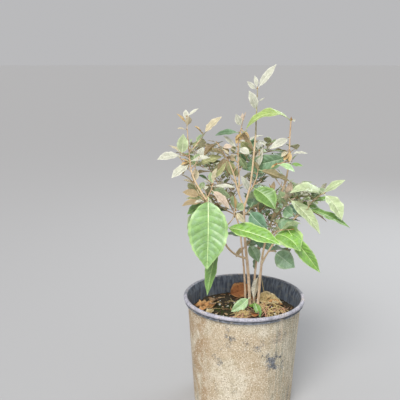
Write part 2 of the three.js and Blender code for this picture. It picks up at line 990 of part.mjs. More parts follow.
function soilHeight(x, y) {
  const away = Math.hypot(x - CLUMP.x, y - CLUMP.y);
  const heap = 1 - THREE.MathUtils.smoothstep(away, SOIL.flatRadius, SOIL.heapRadius);
  const lump = Math.sin(x / SOIL.lumpWidth) * Math.cos(y / SOIL.lumpWidth + 1);
  return SOIL.edgeHeight + SOIL.heap * heap + SOIL.lump * lump * (1 - heap);
}

function makeSoil() {
  const sides = POT.sides;
  const edge = innerRadius(SOIL.edgeHeight) - CLEARANCE;
  const bottom = POT.floor + CLEARANCE;
  const ring = (radius, heightAt) =>
    Array.from({ length: sides }, (_, k) => {
      const turn = (2 * Math.PI * k) / sides;
      const [x, y] = [radius * Math.cos(turn), radius * Math.sin(turn)];
      return new THREE.Vector3(x, y, heightAt(x, y));
    });
  const rings = [ring(innerRadius(bottom) - CLEARANCE, () => bottom)];
  for (let i = 0; i < SOIL.rings; i++) {
    rings.push(ring(edge * (1 - i / SOIL.rings), soilHeight));
  }
  return solid(loft(rings, new THREE.Vector3(0, 0, soilHeight(0, 0))));
}

// How far a piece is moved along Z so that it lies a hair above what is under it.
function restingHeight(piece, ground) {
  let [clear, sunk] = [REST.reach, -REST.reach];
  while (clear - sunk > REST.within) {
    const middle = (clear + sunk) / 2;
    const moved = piece.translate([0, 0, middle]);
    if (ground.some((other) => overlaps(moved, other))) sunk = middle;
    else clear = middle;
    moved.delete();
  }
  return clear + CLEARANCE;
}

// Plant

// Each limb is cut clear of those before it, which leaves a hair's gap at every fork. Rooms are
// the limbs with that gap round them.
function makeLimbs(limbs) {
  const rooms = [];
  const bodies = Object.entries(limbs).map(([name, limb]) => {
    let body = limbTube(limb, 0);
    for (const room of rooms) if (overlaps(body, room)) body = changed(body, "subtract", room);
    rooms.push(limbTube(limb, CLEARANCE));
    return [name, mainPiece(body)];
  });
  return { bodies, rooms };
}

const shootTube = ({ points, thick }) =>
  solid(tube(points, (share) => mix(...thick, share) / 2, SHOOT_SIDES));

// A leaf that grew by rule is left out where its blade would cut through its own mass.
function cutsThrough(leaf, body) {
  const blade = bladeSolid(leaf);
  const cuts = leaf.byRule && overlaps(blade, body);
  blade.delete();
  return cuts;
}

// A mass is its stem, with every twig and leaf that clears what is placed before it.
function makeMass(mass, placed) {
  const [stem, ...twigs] = mass.shoots;
  let body = shootTube(stem);
  for (const other of placed) if (overlaps(body, other)) body = changed(body, "subtract", other);
  body = mainPiece(body);
  const attach = (piece) => {
    const blocked = placed.some((other) => overlaps(piece, other));
    if (!blocked && overlaps(piece, body)) body = changed(body, "add", piece);
    piece.delete();
  };
  twigs.map(shootTube).forEach(attach);
  for (const leaf of mass.shoots.flatMap((shoot) => shoot.leaves)) {
    if (!cutsThrough(leaf, body)) attach(leafSolid(leaf));
  }
  return mainPiece(body);
}

// Assembly

const part = new THREE.Group();

function addMesh(name, body, [color, roughness], height = 0) {
  const material = new THREE.MeshStandardMaterial({ color, roughness, metalness: 0 });
  const mesh = new THREE.Mesh(geometryOf(body), material);
  mesh.name = name;
  mesh.position.z = height;
  part.add(mesh);
}

const pot = makePot();
const soil = makeSoil();
addMesh("pot", pot, FINISHES.pot);
addMesh("soil", soil, FINISHES.soil);

const crown = growCrown();
const { bodies, rooms } = makeLimbs(crown.limbs);
for (const [name, body] of bodies) addMesh(name, body, FINISHES.bark);

const placed = [pot, soil, ...rooms];
for (const mass of crown.masses) {
  const body = makeMass(mass, placed);
  placed.push(body);
  addMesh(mass.name, body, FINISHES[YOUNG_MASSES.test(mass.name) ? "young" : "mature"]);
}

for (const [name, [x, y, ...row]] of Object.entries(FALLEN)) {
  const leaf = leafSolid(placeLeaf(new THREE.Vector3(x, y, GROUND), row));
  addMesh(name, leaf, FINISHES.dead, restingHeight(leaf, placed));
}

export default part;
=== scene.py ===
"""A young silverberry in a round nursery pot. The scene is in metres, +Z up, and -Y is the front.

The part's own measures are in millimetres and degrees. A heading is 0 to the right and 90 to
the back, and a rise is above the level. Measures that vary are pairs of a middle value and how
far they spread.
"""
import math
from collections import namedtuple
from types import SimpleNamespace as Values

import bpy
import numpy as np
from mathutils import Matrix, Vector, noise
from mathutils.bvhtree import BVHTree
from mathutils.geometry import delaunay_2d_cdt


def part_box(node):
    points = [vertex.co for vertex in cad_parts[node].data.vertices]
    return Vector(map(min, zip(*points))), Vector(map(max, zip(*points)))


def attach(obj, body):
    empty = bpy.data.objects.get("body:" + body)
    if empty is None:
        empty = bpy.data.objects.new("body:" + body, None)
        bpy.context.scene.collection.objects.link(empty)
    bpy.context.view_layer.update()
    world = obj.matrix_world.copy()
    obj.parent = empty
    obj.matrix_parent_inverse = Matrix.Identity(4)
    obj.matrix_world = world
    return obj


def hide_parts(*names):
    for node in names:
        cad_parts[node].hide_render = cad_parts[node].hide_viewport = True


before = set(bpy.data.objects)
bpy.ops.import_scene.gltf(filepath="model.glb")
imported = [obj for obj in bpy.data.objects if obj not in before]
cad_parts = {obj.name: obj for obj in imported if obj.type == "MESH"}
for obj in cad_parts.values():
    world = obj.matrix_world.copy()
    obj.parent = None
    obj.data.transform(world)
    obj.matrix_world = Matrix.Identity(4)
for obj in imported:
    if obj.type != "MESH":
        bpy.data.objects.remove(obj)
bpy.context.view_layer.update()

MM = 0.001
ROOT = "root"

# Camera and light

CAMERA = Values(place=(-0.073, -0.936, 0.568), pitch_down=13.2, lens=54, sensor=36, nearest=0.01)
SUN = Values(colour=(1.0, 0.98, 0.95), strength=2.3, angle=28, way=(-0.3, -0.8, 1.0))
LIGHTS = {
    "front": Values(place=(-0.5, -1.6, 1.0), size=1.4, power=8, colour=(0.95, 0.98, 1.0)),
    "rim": Values(place=(0.9, 0.9, 1.2), size=0.9, power=9, colour=(0.9, 0.96, 1.0)),
}
WORLD = Values(colour=(0.98, 0.98, 1.0), strength=0.5)
FLOOR = Values(radius=60, sides=96, colour="b0b0b1", roughness=0.9)
AIM = (0, 0, 0.3)

# Pot and soil. An arc of the profile has the angles where it starts and ends, and its points. The
# cove under the lip, its ridge and the neck over it first have how far out and up they lie from the
# shoulder or the lip, and the first two their radius.

POT = Values(
    height=188, rim_radius=100, foot_radius=82, shoulder_radius=93, wall=2, floor=3,
    foot_edge=1.5, foot_arc=(-90, 0, 5),
    lip_drop=11, lip_radius=97.8, bead_radius=3.2, bead_arc=(-75, 180, 22),
    cove=(0.8, -0.7, 0.7, 180, 90, 4), cove_below=0.6, ridge=(-0.9, 1.4, 1.1, -80, 75, 7),
    neck=(-1.5, 3.2),
    drain_holes=8, drain_radius=6, drain_circle=62, hole_sides=24,
    sides=288, wall_rings=110, inside_rings=60, rim_rings=4, sharp=50,
)
SKIRT = POT.height - POT.lip_drop
CLEARANCE = 0.3
CLUMP = (15, 14)
SOIL = Values(
    edge_height=156, heap=7, flat_radius=26, heap_radius=62, lump=1.3, lump_width=8, rings=56,
    sides=200,
)
GROUND = SOIL.edge_height + SOIL.heap

# Where each run of random numbers starts. Leaves and fine growth add the seed of their mass, and
# boughs their number.
SEEDS = Values(leaves=77, fine=1000, boughs=2000, crumbs=501, straws=733, moss=877, fallen=911)

# Limbs: a place on the soil, or the limb that carries it and the share of its length, then
# headings, rises, length, and thickness at both ends
LIMBS = {
    "stem_left": ((11, 10), (173, 193, 257), (88, 83, 85), 173, (5.4, 3.9)),
    "stem_left_thin": ((4, 19), (130, 116, 100), (90, 79, 63), 126, (3.8, 2.8)),
    "stem_right": ((24, 8), (350, 318, 300), (85, 87, 82), 77, (4.8, 4)),
    "stem_pale": ((19, 21), (95, 65, 73), (93, 76, 56), 113, (4.2, 3.2)),
    "bough_left": (("stem_left", 0.485), (204, 231, 200), (17, 67, 60), 144, (3.4, 2.7)),
    "bough_left_up": (("bough_left", 1), (170, 153, 139), (57, 56, 77), 57, (2.6, 2.2)),
    "bough_leader": (("stem_left", 1), (359, 340, 328), (72, 85, 86), 120, (3.5, 2.6)),
    "bough_lean": (("stem_left", 1), (184, 198, 201), (66, 76, 64), 81, (3.3, 2.4)),
    "bough_middle": (("bough_lean", 0.33), (65, 102, 112), (75, 74, 84), 58, (2.6, 2.2)),
    "bough_inner": (("stem_right", 1), (74, -2, -29), (72, 74, 71), 143, (3.7, 2.9)),
    "bough_outer": (("stem_right", 1), (9, 0, -16), (64, 55, 38), 117, (3.4, 2.4)),
    "bough_back_left": (("stem_left_thin", 1), (110, 140, 165), (60, 50, 62), 95, (2.8, 2.2)),
    "bough_back": (("stem_pale", 1), (80, 105, 110), (60, 66, 78), 105, (3, 2.2)),
    "bough_back_right": (("stem_pale", 0.8), (40, 35, 30), (35, 42, 40), 90, (2.8, 2.2)),
}
# Masses of foliage: the limb that carries each and where, and the same of its stem
MASSES = {
    "foliage_top": (("bough_leader", 1), (300, 280), (89, 86), 70, (2.4, 1.3)),
    "foliage_lean": (("bough_lean", 1), (202, 200), (56, 58), 36, (2.2, 1.2)),
    "foliage_middle": (("bough_middle", 1), (100, 20), (80, 72), 52, (2, 1.1)),
    "foliage_left_top": (("bough_left_up", 1), (110, 120), (72, 86), 76, (2, 1.1)),
    "foliage_left_side": (("bough_left", 0.88), (165, 150), (42, 66), 50, (1.9, 1.1)),
    "foliage_front_left": (("bough_left", 1), (330, 335), (60, 72), 27, (2.4, 1.2)),
    "foliage_low_left": (("bough_left", 0.4), (222, 215), (-15, 0), 15, (2, 1.6)),
    "foliage_front": (("bough_left", 0.62), (320, 370), (15, 84), 42, (2.1, 1.4)),
    "foliage_inside": (("stem_left_thin", 0.75), (20, 60), (25, 50), 30, (1.9, 1.5)),
    "foliage_fork": (("stem_left", 0.93), (310, 330), (25, 60), 16, (1.8, 1.4)),
    "foliage_heart": (("bough_leader", 0.2), (15, 20), (50, 84), 42, (2, 1.4)),
    "foliage_right_low": (("bough_outer", 0.32), (250, 300, 350), (70, 40, 0), 60, (2.2, 1.6)),
    "foliage_low_right": (("bough_outer", 0.2), (10, 0), (5, -5), 9, (2, 1.7)),
    "foliage_right": (("bough_inner", 0.55), (330, 345), (40, 70), 44, (2.2, 1.4)),
    "foliage_right_top": (("bough_inner", 1), (332, 304, 286), (78, 91, 85), 98, (2.8, 2.3)),
    "foliage_far": (("bough_outer", 1), (355, 340), (66, 28), 39, (2, 1.4)),
    "foliage_back_left": (("bough_back_left", 1), (160, 175), (55, 75), 60, (2.1, 1.2)),
    "foliage_back": (("bough_back", 1), (90, 70), (80, 76), 62, (2.1, 1.2)),
    "foliage_back_right": (("bough_back_right", 1), (15, 0), (35, 45), 46, (2.1, 1.2)),
    "foliage_back_low": (("bough_back", 0.22), (85, 95), (20, 40), 58, (2.1, 1.3)),
    "foliage_back_side": (("bough_back_left", 0.3), (175, 185), (25, 45), 64, (2.1, 1.3)),
}
# How each mass grows on by rule: tints of its young and its old leaves, then how many leaves
# its stem gets, how long the longest is, the seed, how many side twigs, how long they are, and
# how high it reaches
GROWTH = {
    "foliage_top": ("silver cream", "sage olive"),
    "foliage_lean": ("cream silver bronze", "olive dark bronze", 5, 36, 21),
    "foliage_middle": ("silver cream pink", "sage olive dark", 7, 38, 32),
    "foliage_left_top": ("silver cream", "sage olive", 8, 40, 43),
    "foliage_left_side": ("silver cream", "olive sage bronze", 9, 50, 54),
    "foliage_front_left": ("silver cream", "green sage"),
    "foliage_low_left": ("sage", "dark green"),
    "foliage_front": ("sage silver", "green"),
    "foliage_inside": ("sage olive", "mist dark", 7, 56, 142),
    "foliage_fork": ("sage olive", "mist dark", 4, 46, 153),
    "foliage_heart": ("sage olive silver", "mist dark green", 5, 48, 164),
    "foliage_right_low": ("sage mist", "mist dark", 4, 50, 175),
    "foliage_low_right": ("sage", "mist dark"),
    "foliage_right": ("pink sage pale", "green mist", 8, 50, 65),
    "foliage_right_top": ("silver sage", "mist green"),
    "foliage_far": ("pale sage", "green"),
    "foliage_back_left": ("silver sage", "olive sage dark", 10, 64, 76, 4, 46),
    "foliage_back": ("silver sage", "olive dark bronze", 10, 60, 87, 4, 44),
    "foliage_back_right": ("silver pale sage", "green sage", 10, 66, 98, 4, 42, 365),
    "foliage_back_low": ("sage olive", "dark olive", 11, 78, 109, 3, 44),
    "foliage_back_side": ("cream sage", "olive dark bronze", 11, 74, 131, 3, 42),
}
# Leaves that the photo shows: the place along the shoot, heading, rise, length, width, arch of
# the midrib, roll of the blade, and tint
LEAVES = {
    "foliage_top": [
        (1, 15, 51, 48, 12, 15, 50, "silver"), (0.97, 194, 39, 22, 8, 25, -85, "silver"),
        (1, 157, 76, 21, 7, 10, -62, "silver"), (0.52, 198, 67, 34, 14, 25, -95, "silver"),
        (0.73, 348, 25, 14, 6, -30, 20, "silver"),
    ],
    "foliage_lean": [
        (1, 191, -43, 29, 14, 50, 55, "bronze"), (0.3, 186, -18, 47, 18, 25, -25, "olive"),
        (0.5, 172, 24, 36, 9, -30, 40, "cream"), (0.6, 250, 20, 24, 12, 40, 0, "silver"),
        (0.05, 166, -50, 40, 17, 30, -68, "olive"), (0.7, 12, 8, 20, 12, 40, 30, "pink"),
        (0.2, 32, -55, 40, 15, 20, 129, "olive"), (0.35, 123, -73, 33, 16, 15, -162, "bronze"),
        (0.1, 70, -61, 31, 13, 20, 148, "bronze"),
    ],
    "foliage_middle": [
        (0.72, 195, -4, 42, 15, 45, -25, "dark"), (0.25, 199, 40, 33, 13, -20, -40, "silver"),
        (0.27, 325, -23, 23, 15, 30, 30, "silver"), (0.9, 204, 65, 24, 12, 10, -98, "silver"),
        (0.95, 341, 73, 24, 8, 10, 30, "pink"), (0.05, 15, -57, 28, 14, 20, 131, "sage"),
        (0.55, 320, 40, 22, 11, 30, 20, "sage"), (0.85, 5, -59, 42, 8, 15, 104, "bronze"),
        (0.5, 26, -35, 33, 16, 20, 117, "olive"), (0.08, 197, -52, 22, 10, 20, -30, "sage"),
        (0.3, 152, -31, 15, 12, 25, -76, "olive"), (0.15, 36, -47, 25, 12, 20, 135, "dark"),
    ],
    "foliage_left_top": [
        (0.1, 333, 14, 36, 11, 30, 30, "silver"), (1, 7, 35, 23, 7, 10, 30, "silver"),
        (0.86, 195, 45, 23, 9, 15, -30, "gold"), (0.8, 287, 62, 20, 11, -20, 0, "cream"),
        (0.05, 212, -29, 38, 17, 35, -20, "silver"), (0.12, 130, -54, 30, 14, 25, 0, "olive"),
    ],
    "foliage_left_side": [
        (0.5, 188, 15, 30, 14, 30, -50, "bronze"), (0.9, 220, 25, 26, 12, 20, -20, "cream"),
        (0.15, 195, -48, 50, 26, 25, -10, "sage"), (0.25, 190, -30, 34, 15, 30, -63, "green"),
    ],
    "foliage_front_left": [
        (0.28, 266, -71, 112, 60, 28, 0, "hero"), (1, 326, 74, 28, 12, 15, 60, "cream"),
        (0.9, 339, 2, 37, 10, 20, 20, "silver"), (0.7, 333, -41, 41, 15, 30, 25, "pink"),
        (0.55, 20, -20, 37, 24, 25, 35, "sage"), (0.95, 100, 50, 24, 10, 20, 0, "sage"),
    ],
    "foliage_low_left": [
        (1, 240, -64, 79, 22, 20, 10, "green"), (0.7, 150, -18, 52, 26, 40, 0, "dark"),
    ],
    "foliage_front": [
        (0.2, 339, -12, 95, 36, 22, 24, "bright"), (1, 338, -48, 24, 10, 25, 87, "cream"),
        (1, 100, 40, 30, 12, 20, 0, "sage"), (1, 18, 42, 17, 14, 25, 85, "sage"),
        (1, 221, 83, 27, 6, 15, 0, "gold"),
    ],
    "foliage_inside": [
        (0.5, 307, -44, 38, 20, 25, 25, "mist"), (1, 315, -20, 50, 26, 35, 30, "teal"),
        (0.8, 150, 0, 58, 28, 35, 0, "dark"), (0.3, 193, -47, 26, 11, 25, -20, "bronze"),
    ],
    "foliage_fork": [
        (0.7, 326, -35, 43, 30, 25, 81, "teal"), (1, 75, 10, 46, 22, 35, 0, "dark"),
    ],
    "foliage_heart": [
        (0.3, 320, -34, 53, 34, 30, 30, "green"), (1, 345, -18, 55, 22, 10, -45, "olive"),
        (0.6, 70, 0, 44, 20, 35, 0, "teal"), (0.95, 95, 35, 30, 13, 30, 0, "sage"),
        (1, 40, 74, 36, 15, 20, 0, "silver"), (0.08, 209, 59, 32, 11, 20, -99, "silver"),
    ],
    "foliage_right_low": [
        (0.42, 317, -20, 53, 48, 80, 20, "bright"), (0.9, 2, -53, 91, 24, 20, 109, "bright"),
        (0.4, 12, 24, 44, 32, 40, 57, "mist"),
    ],
    "foliage_low_right": [
        (1, 326, -28, 44, 32, 30, 73, "mist"), (0.8, 50, -15, 56, 28, 35, 0, "dark"),
    ],
    "foliage_right": [
        (1, 321, -40, 78, 24, 25, 20, "pale"), (0.6, 311, -25, 24, 22, 25, 77, "mist"),
        (0.75, 292, 62, 30, 12, 10, 0, "pink"), (0.95, 60, 65, 30, 11, 10, 0, "pink"),
        (1, 294, 40, 26, 14, 20, 0, "silver"), (0.95, 20, 55, 30, 12, 20, 0, "sage"),
        (0.35, 22, -15, 56, 28, 35, 30, "teal"), (0.7, 214, 63, 28, 20, 25, -109, "sage"),
        (0.9, 207, 72, 28, 8, 15, -10, "cream"),
    ],
    "foliage_right_top": [
        (0.72, 200, -24, 38, 13, 50, -46, "silver"), (0.47, 334, 5, 30, 9, 15, 15, "silver"),
        (0.42, 163, -17, 80, 30, 25, -104, "mist"), (0.3, 350, -6, 23, 9, 20, 30, "green"),
        (0.6, 67, -15, 50, 22, 30, 0, "sage"), (0.33, 110, 5, 56, 26, 40, 0, "dark"),
        (0.45, 157, 10, 31, 12, 25, 0, "sage"), (1, 194, -9, 75, 24, 110, -22, "lime"),
        (1, 330, 18, 8, 5, 15, 101, "silver"),
    ],
    "foliage_far": [
        (1, 201, 5, 61, 24, 75, -20, "pale"), (1, 314, -46, 52, 25, 45, 20, "pale"),
        (0.95, 348, 35, 42, 18, 25, 28, "pale"), (0.06, 335, -19, 74, 17, 30, 22, "green"),
        (0.02, 348, -30, 38, 17, 25, -10, "bronze"), (0.9, 130, -10, 40, 18, 40, 0, "pale"),
        (0.5, 65, 15, 46, 22, 35, 0, "sage"),
    ],
}
# Twigs that the photo shows, with theirs: place along the stem, headings, rises and length
TWIGS = {
    "foliage_left_top": [
        (0.28, (10, 15), (45, 55), 35, [
            (1, 10, 44, 40, 16, 25, 25, "cream"), (1, 225, 38, 24, 15, 20, -30, "gold"),
            (0.8, 330, 50, 18, 8, 15, 10, "silver"), (0.5, 60, 30, 28, 11, 30, 0, "sage"),
        ]),
        (0.22, (200, 205), (5, 10), 14, [
            (1, 200, -7, 38, 16, 25, -35, "silver"), (0.9, 296, 80, 34, 18, 15, 150, "pale"),
            (0.6, 150, 25, 32, 14, 30, 0, "cream"),
        ]),
    ],
    "foliage_heart": [
        (1, (75, 75), (72, 84), 30, [
            (1, 9, -9, 13, 12, 30, 20, "sage"), (0.95, 135, 60, 17, 10, 15, 0, "silver"),
            (0.6, 334, 67, 11, 5, 10, 20, "cream"),
        ]),
    ],
    "foliage_right": [
        (0.3, (170, 160), (62, 80), 32, [
            (1, 200, 70, 20, 7, 10, 0, "gold"), (1, 60, 76, 22, 8, 10, 0, "bronze"),
            (0.9, 320, 50, 26, 11, 20, 20, "sage"), (0.75, 340, 18, 32, 14, 30, 20, "pink"),
        ]),
    ],
    "foliage_right_top": [
        (0.36, (214, 214), (-14, -2), 25, [
            (1, 343, -21, 30, 14, 40, 25, "fresh"), (0.9, 190, -29, 13, 7, 20, -10, "gold"),
        ]),
    ],
}
# Small young leaves at the ends and forks of the shoots
TUFTS = {
    "foliage_lean": [
        (1, 206, 16, 18, 7, 20, 0, "cream"), (0.95, 22, -35, 19, 7, -20, 0, "gold"),
        (0.55, 12, -37, 18, 8, 20, 10, "cream"), (0.75, 348, -34, 17, 7, 15, 20, "cream"),
    ],
    "foliage_middle": [
        (1, 78, 75, 18, 6, 10, 0, "pink"), (0.75, 214, -52, 15, 8, -20, 0, "gold"),
        (0.7, 224, -62, 18, 7, 20, 10, "gold"), (0.8, 274, -66, 17, 7, 20, -20, "gold"),
        (0.85, 344, -46, 21, 7, 25, 20, "gold"), (0.12, 193, 28, 15, 8, 20, -20, "cream"),
        (0.05, 202, -14, 16, 9, 25, -20, "cream"),
    ],
    "foliage_left_top": [
        (0.74, 217, 11, 19, 7, 20, -20, "cream"), (0.9, 100, 55, 22, 9, 20, 0, "silver"),
        (0.08, 202, 23, 17, 6, 20, -20, "gold"), (0.12, 208, -20, 16, 7, 25, -20, "gold"),
        (0.05, 225, -43, 12, 7, 20, 0, "bronze"), (0.15, 194, 35, 20, 6, 15, -10, "gold"),
    ],
    "foliage_front_left": [
        (0.8, 200, 45, 18, 8, 20, -20, "silver"), (1, 192, 41, 12, 6, 10, -10, "gold"),
        (0.9, 197, 17, 11, 5, 20, 0, "gold"),
    ],
    "foliage_right_top": [
        (0.48, 342, 39, 12, 5, 10, 0, "gold"), (0.5, 224, -45, 18, 9, -20, 0, "gold"),
        (0.52, 205, -32, 17, 9, 25, -20, "cream"), (0.54, 271, -67, 20, 8, -15, 0, "gold"),
        (0.97, 20, 60, 7, 4, 0, 0, "silver"),
    ],
}

# Growth

# The rule that leaves and twigs grow by
RULE = Values(
    turn=137.5, turn_error=(0, 24), first_leaf=0.12, tip_rise=62, base_rise=-28, rise_error=(0, 20),
    young_share=0.34, size=(1, 0.3), slender=(0.41, 0.14), arch=(38, 40), roll=(0, 50),
    sway=(0, 20),
)
# Side twigs, as shares of the length that their mass gives them and of its stem's thickness
TWIG = Values(
    span=(0.15, 0.8), rise=(22, 25), lift=25, length=(1, 0.4), thin=0.8, leaves=6, leaf_share=0.85,
)
# Sprigs of small leaves, those on the shoots and the longer ones on the boughs
SPRIG = Values(
    spacing=17, span=(0.2, 0.98), rise=(35, 40), lift=20, length=(13, 12),
    thick=(1.1, 0.7), leaves=4, longest=22,
)
BOUGH_SPRIG = Values(**vars(SPRIG) | dict(
    spacing=9, span=(0.4, 0.98), length=(24, 14), thick=(1.5, 0.8), leaves=6, longest=30,
))
# What is left open, and how near leaves come to limbs and to each other. A leaf's reach is in
# shares of its length and its width.
ROOM = Values(
    rib_at=(0.3, 0.55, 0.8, 1), reach=(0.55, 0.3), mass_centre=0.6,
    crowding=0.14, limb=2, limb_share=0.2,
    crown_radius=150, crown_top=440, bottom=POT.height + 6,
    front_open_below=262, front_open_before=25,
)
# Growth too fine for the solids: more leaves on each shoot, and sprigs. None of it hides the
# limbs and leaves that the photo shows.
FINE = Values(
    leaf_spacing=6.5, leaf_share=0.8, leaf_top=46, crowding=0.08,
    shown_limbs=("bough_left", "bough_left_up", "bough_leader", "bough_lean", "bough_middle"),
    shown_berth=5, shown_share=0.32, shown_depth=60, sight_slope=0.3,
    bald=("foliage_front_left", "foliage_low_left", "foliage_front", "foliage_low_right"),
    young_age=0.45,
)
# Where a blade is measured to find what it would cut through, and its half width there
PATCH = Values(at=(0.14, 0.35, 0.6, 0.85, 1), half=(0.3, 0.95, 0.9, 0.45, 0.05))
LIMB_STEPS = 8
SHOOT_STEPS = 4
SMOOTH_PARTS = 8

Shape = namedtuple("Shape", "heading rise length thick")
Growth = namedtuple("Growth", "young old sprouts leaf_length seed twigs twig_length top",
                    defaults=(0, FINE.leaf_top, 1, 0, 0, ROOM.crown_top))


def mix(a, b, share):
    return a + (b - a) * share


def draw(pair, random):
    middle, spreading = pair
    return middle + (random() - 0.5) * spreading


def seeded(seed):
    """A run of numbers between 0 and 1 that is the same for the same seed."""
    state = [seed]

    def following():
        state[0] = (state[0] * 1664525 + 1013904223) % 4294967296
        return state[0] / 4294967296

    return following


def direction(heading, rise):
    h, r = math.radians(heading), math.radians(rise)
    return np.array([math.cos(r) * math.cos(h), math.cos(r) * math.sin(h), math.sin(r)])


def point_at(values, share):
    """The value at a share of the way through a list, or the point on a curve."""
    place = min(share, 1) * (len(values) - 1)
    before = min(int(place), len(values) - 2)
    return mix(values[before], values[before + 1], place - before)


def unit(vectors):
    return vectors / np.linalg.norm(vectors, axis=-1, keepdims=True)


def smooth(points):
    """A smooth curve through the points of a path."""
    ends = [2 * points[0] - points[1], *points, 2 * points[-1] - points[-2]]
    curve = []
    for i in range(len(points) - 1):
        a, b, c, d = ends[i : i + 4]
        for t in np.arange(SMOOTH_PARTS) / SMOOTH_PARTS:
            bend = (2 * a - 5 * b + 4 * c - d) * t**2 + (3 * b - a - 3 * c + d) * t**3
            curve.append(b + ((c - a) * t + bend) / 2)
    curve.append(points[-1])
    return np.array(curve)


def walk(start, shape, steps):
    """The curve of a shoot that sets out from start."""
    points = [np.array(start, float)]
    for i in range(steps):
        share = (i + 0.5) / steps
        way = direction(point_at(shape.heading, share), point_at(shape.rise, share))
        points.append(points[-1] + way * shape.length / steps)
    return smooth(points)


def distances(points, curve):
    """How far each point is from a curve."""
    starts, steps = curve[:-1], np.diff(curve, axis=0)
    away = points[:, None] - starts
    share = np.clip((away * steps).sum(-1) / (steps**2).sum(-1), 0, 1)
    return np.linalg.norm(away - share[..., None] * steps, axis=-1).min(axis=1)


class Shoot:
    """A stem, twig or sprig with its leaves."""

    def __init__(self, start, shape, steps=SHOOT_STEPS, rooted=False):
        self.curve = walk(start, shape, steps)
        self.thick, self.length, self.rooted = shape.thick, shape.length, rooted
        self.leaves = []


class Leaf:
    """Where a leaf's base is, the line to its tip, and the way its upper side faces."""

    def __init__(self, base, heading, rise, length, width, arch, roll, tint):
        self.base, self.length, self.width, self.arch, self.tint = base, length, width, arch, tint
        self.chord = direction(heading, rise)
        face = direction(heading, rise + 90)
        turn = math.radians(roll)
        self.face = face * math.cos(turn) + np.cross(self.chord, face) * math.sin(turn)
        self.rib = self.midrib(np.array(ROOM.rib_at))[0]
        self.reach = length * ROOM.reach[0] + width * ROOM.reach[1]

    def midrib(self, share):
        """Points on the midrib, an arc, with the way up from the blade and along it there."""
        bend = math.radians(self.arch or 1)
        angle = bend * (0.5 - share)
        scale = self.length / (2 * math.sin(bend / 2))
        along = (math.sin(bend / 2) - np.sin(angle)) * scale
        above = (np.cos(angle) - math.cos(bend / 2)) * scale
        cos, sin = np.cos(angle)[..., None], np.sin(angle)[..., None]
        point = self.base + along[..., None] * self.chord + above[..., None] * self.face
        return point, cos * self.face - sin * self.chord, cos * self.chord + sin * self.face

    def patch(self):
        """A coarse blade, to find what it would cut through."""
        points, normals, ways = self.midrib(np.array(PATCH.at))
        side = np.cross(ways, normals) * np.array(PATCH.half)[:, None] * self.width / 2
        flat = [tuple(p) for row in zip(points - side, points, points + side) for p in row]
        quads = [(3 * i + j, 3 * i + j + 1, 3 * i + j + 4, 3 * i + j + 3)
                 for i in range(len(points) - 1) for j in range(2)]
        return BVHTree.FromPolygons(flat, quads)


class Crown:
    """The limbs, and the masses of foliage that grow from them."""

    def __init__(self, limbs):
        self.limbs = limbs
        self.masses = []
        self.ribs = np.zeros((0, len(ROOM.rib_at), 3))
        self.widths, self.reaches = np.zeros(0), np.zeros(0)
        self.patches = []
        self.shown, self.berths = np.zeros((0, 3)), np.zeros(0)

    def keep(self, leaf, shoot, patch=None):
        shoot.leaves.append(leaf)
        self.ribs = np.concatenate([self.ribs, leaf.rib[None]])
        self.widths = np.append(self.widths, leaf.width)
        self.reaches = np.append(self.reaches, leaf.reach)
        self.patches.append(patch or leaf.patch())

    def strays(self, tip, mass):
        """Whether a tip is nearer to the middle of another mass than to that of its own."""
        homeward = np.linalg.norm(tip - mass.centre)
        return any(np.linalg.norm(tip - other.centre) < homeward for other in self.masses)

    def outside(self, rib, mass):
        """Whether points lie outside the crown, or where the photo shows it open."""
        tip = rib[-1]
        if math.hypot(tip[0] - CLUMP[0], tip[1] - CLUMP[1]) > ROOM.crown_radius:
            return True
        if tip[2] > mass.growth.top or rib[:, 2].min() < ROOM.bottom:
            return True
        low = rib[:, 2] < ROOM.front_open_below
        return bool(np.any(low & (rib[:, 1] < ROOM.front_open_before)))

    def show(self, points, berth):
        """Marks points on a limb or a leaf that no fine leaf may hide."""
        self.shown = np.vstack([self.shown, points])
        self.berths = np.append(self.berths, np.full(len(points), berth))

    def hides_shown(self, rib):
        """Whether a leaf would hang close in front of a limb or a leaf that shows."""
        x, y, z = np.moveaxis(rib[:, None] - self.shown, -1, 0)
        across = np.hypot(x, z + FINE.sight_slope * y)
        return bool(np.any((across < self.berths) & (y < 0) & (y > -FINE.shown_depth)))

    def has_room(self, leaf, mass, fine):
        """Whether a leaf stays in its mass's space and clear of what is there."""
        if fine and self.hides_shown(leaf.rib):
            return False
        if self.strays(leaf.rib[-1], mass) or self.outside(leaf.rib, mass):
            return False
        berth = ROOM.limb + leaf.width * ROOM.limb_share
        if any(distances(leaf.rib, limb.curve).min() < berth for limb in self.limbs.values()):
            return False
        crowding = (FINE if fine else ROOM).crowding
        apart = np.linalg.norm(self.ribs[:, :, None] - leaf.rib, axis=-1).min(axis=(1, 2))
        return bool(np.all(apart > (leaf.width + self.widths) * crowding))

    def cuts_through(self, leaf, patch):
        away = np.linalg.norm(self.ribs[:, 1] - leaf.rib[1], axis=1)
        near = np.nonzero(away < self.reaches + leaf.reach)[0]
        return any(patch.overlap(self.patches[i]) for i in near)

    def try_leaf(self, leaf, shoot, mass, fine):
        if not self.has_room(leaf, mass, fine):
            return
        patch = leaf.patch()
        if not self.cuts_through(leaf, patch):
            self.keep(leaf, shoot, patch)


class Mass:
    def __init__(self, name, stem):
        self.name, self.shoots, self.growth = name, [stem], Growth(*GROWTH[name])
        self.centre = point_at(stem.curve, ROOM.mass_centre)
        self.colour = seeded(self.growth.seed + len(name))

    def tint(self, age):
        """A young or an old colour, dealt out by the age of the leaf."""
        young = age < FINE.young_age
        tints = (self.growth.young if young else self.growth.old).split()
        return tints[int(self.colour() * len(tints))]


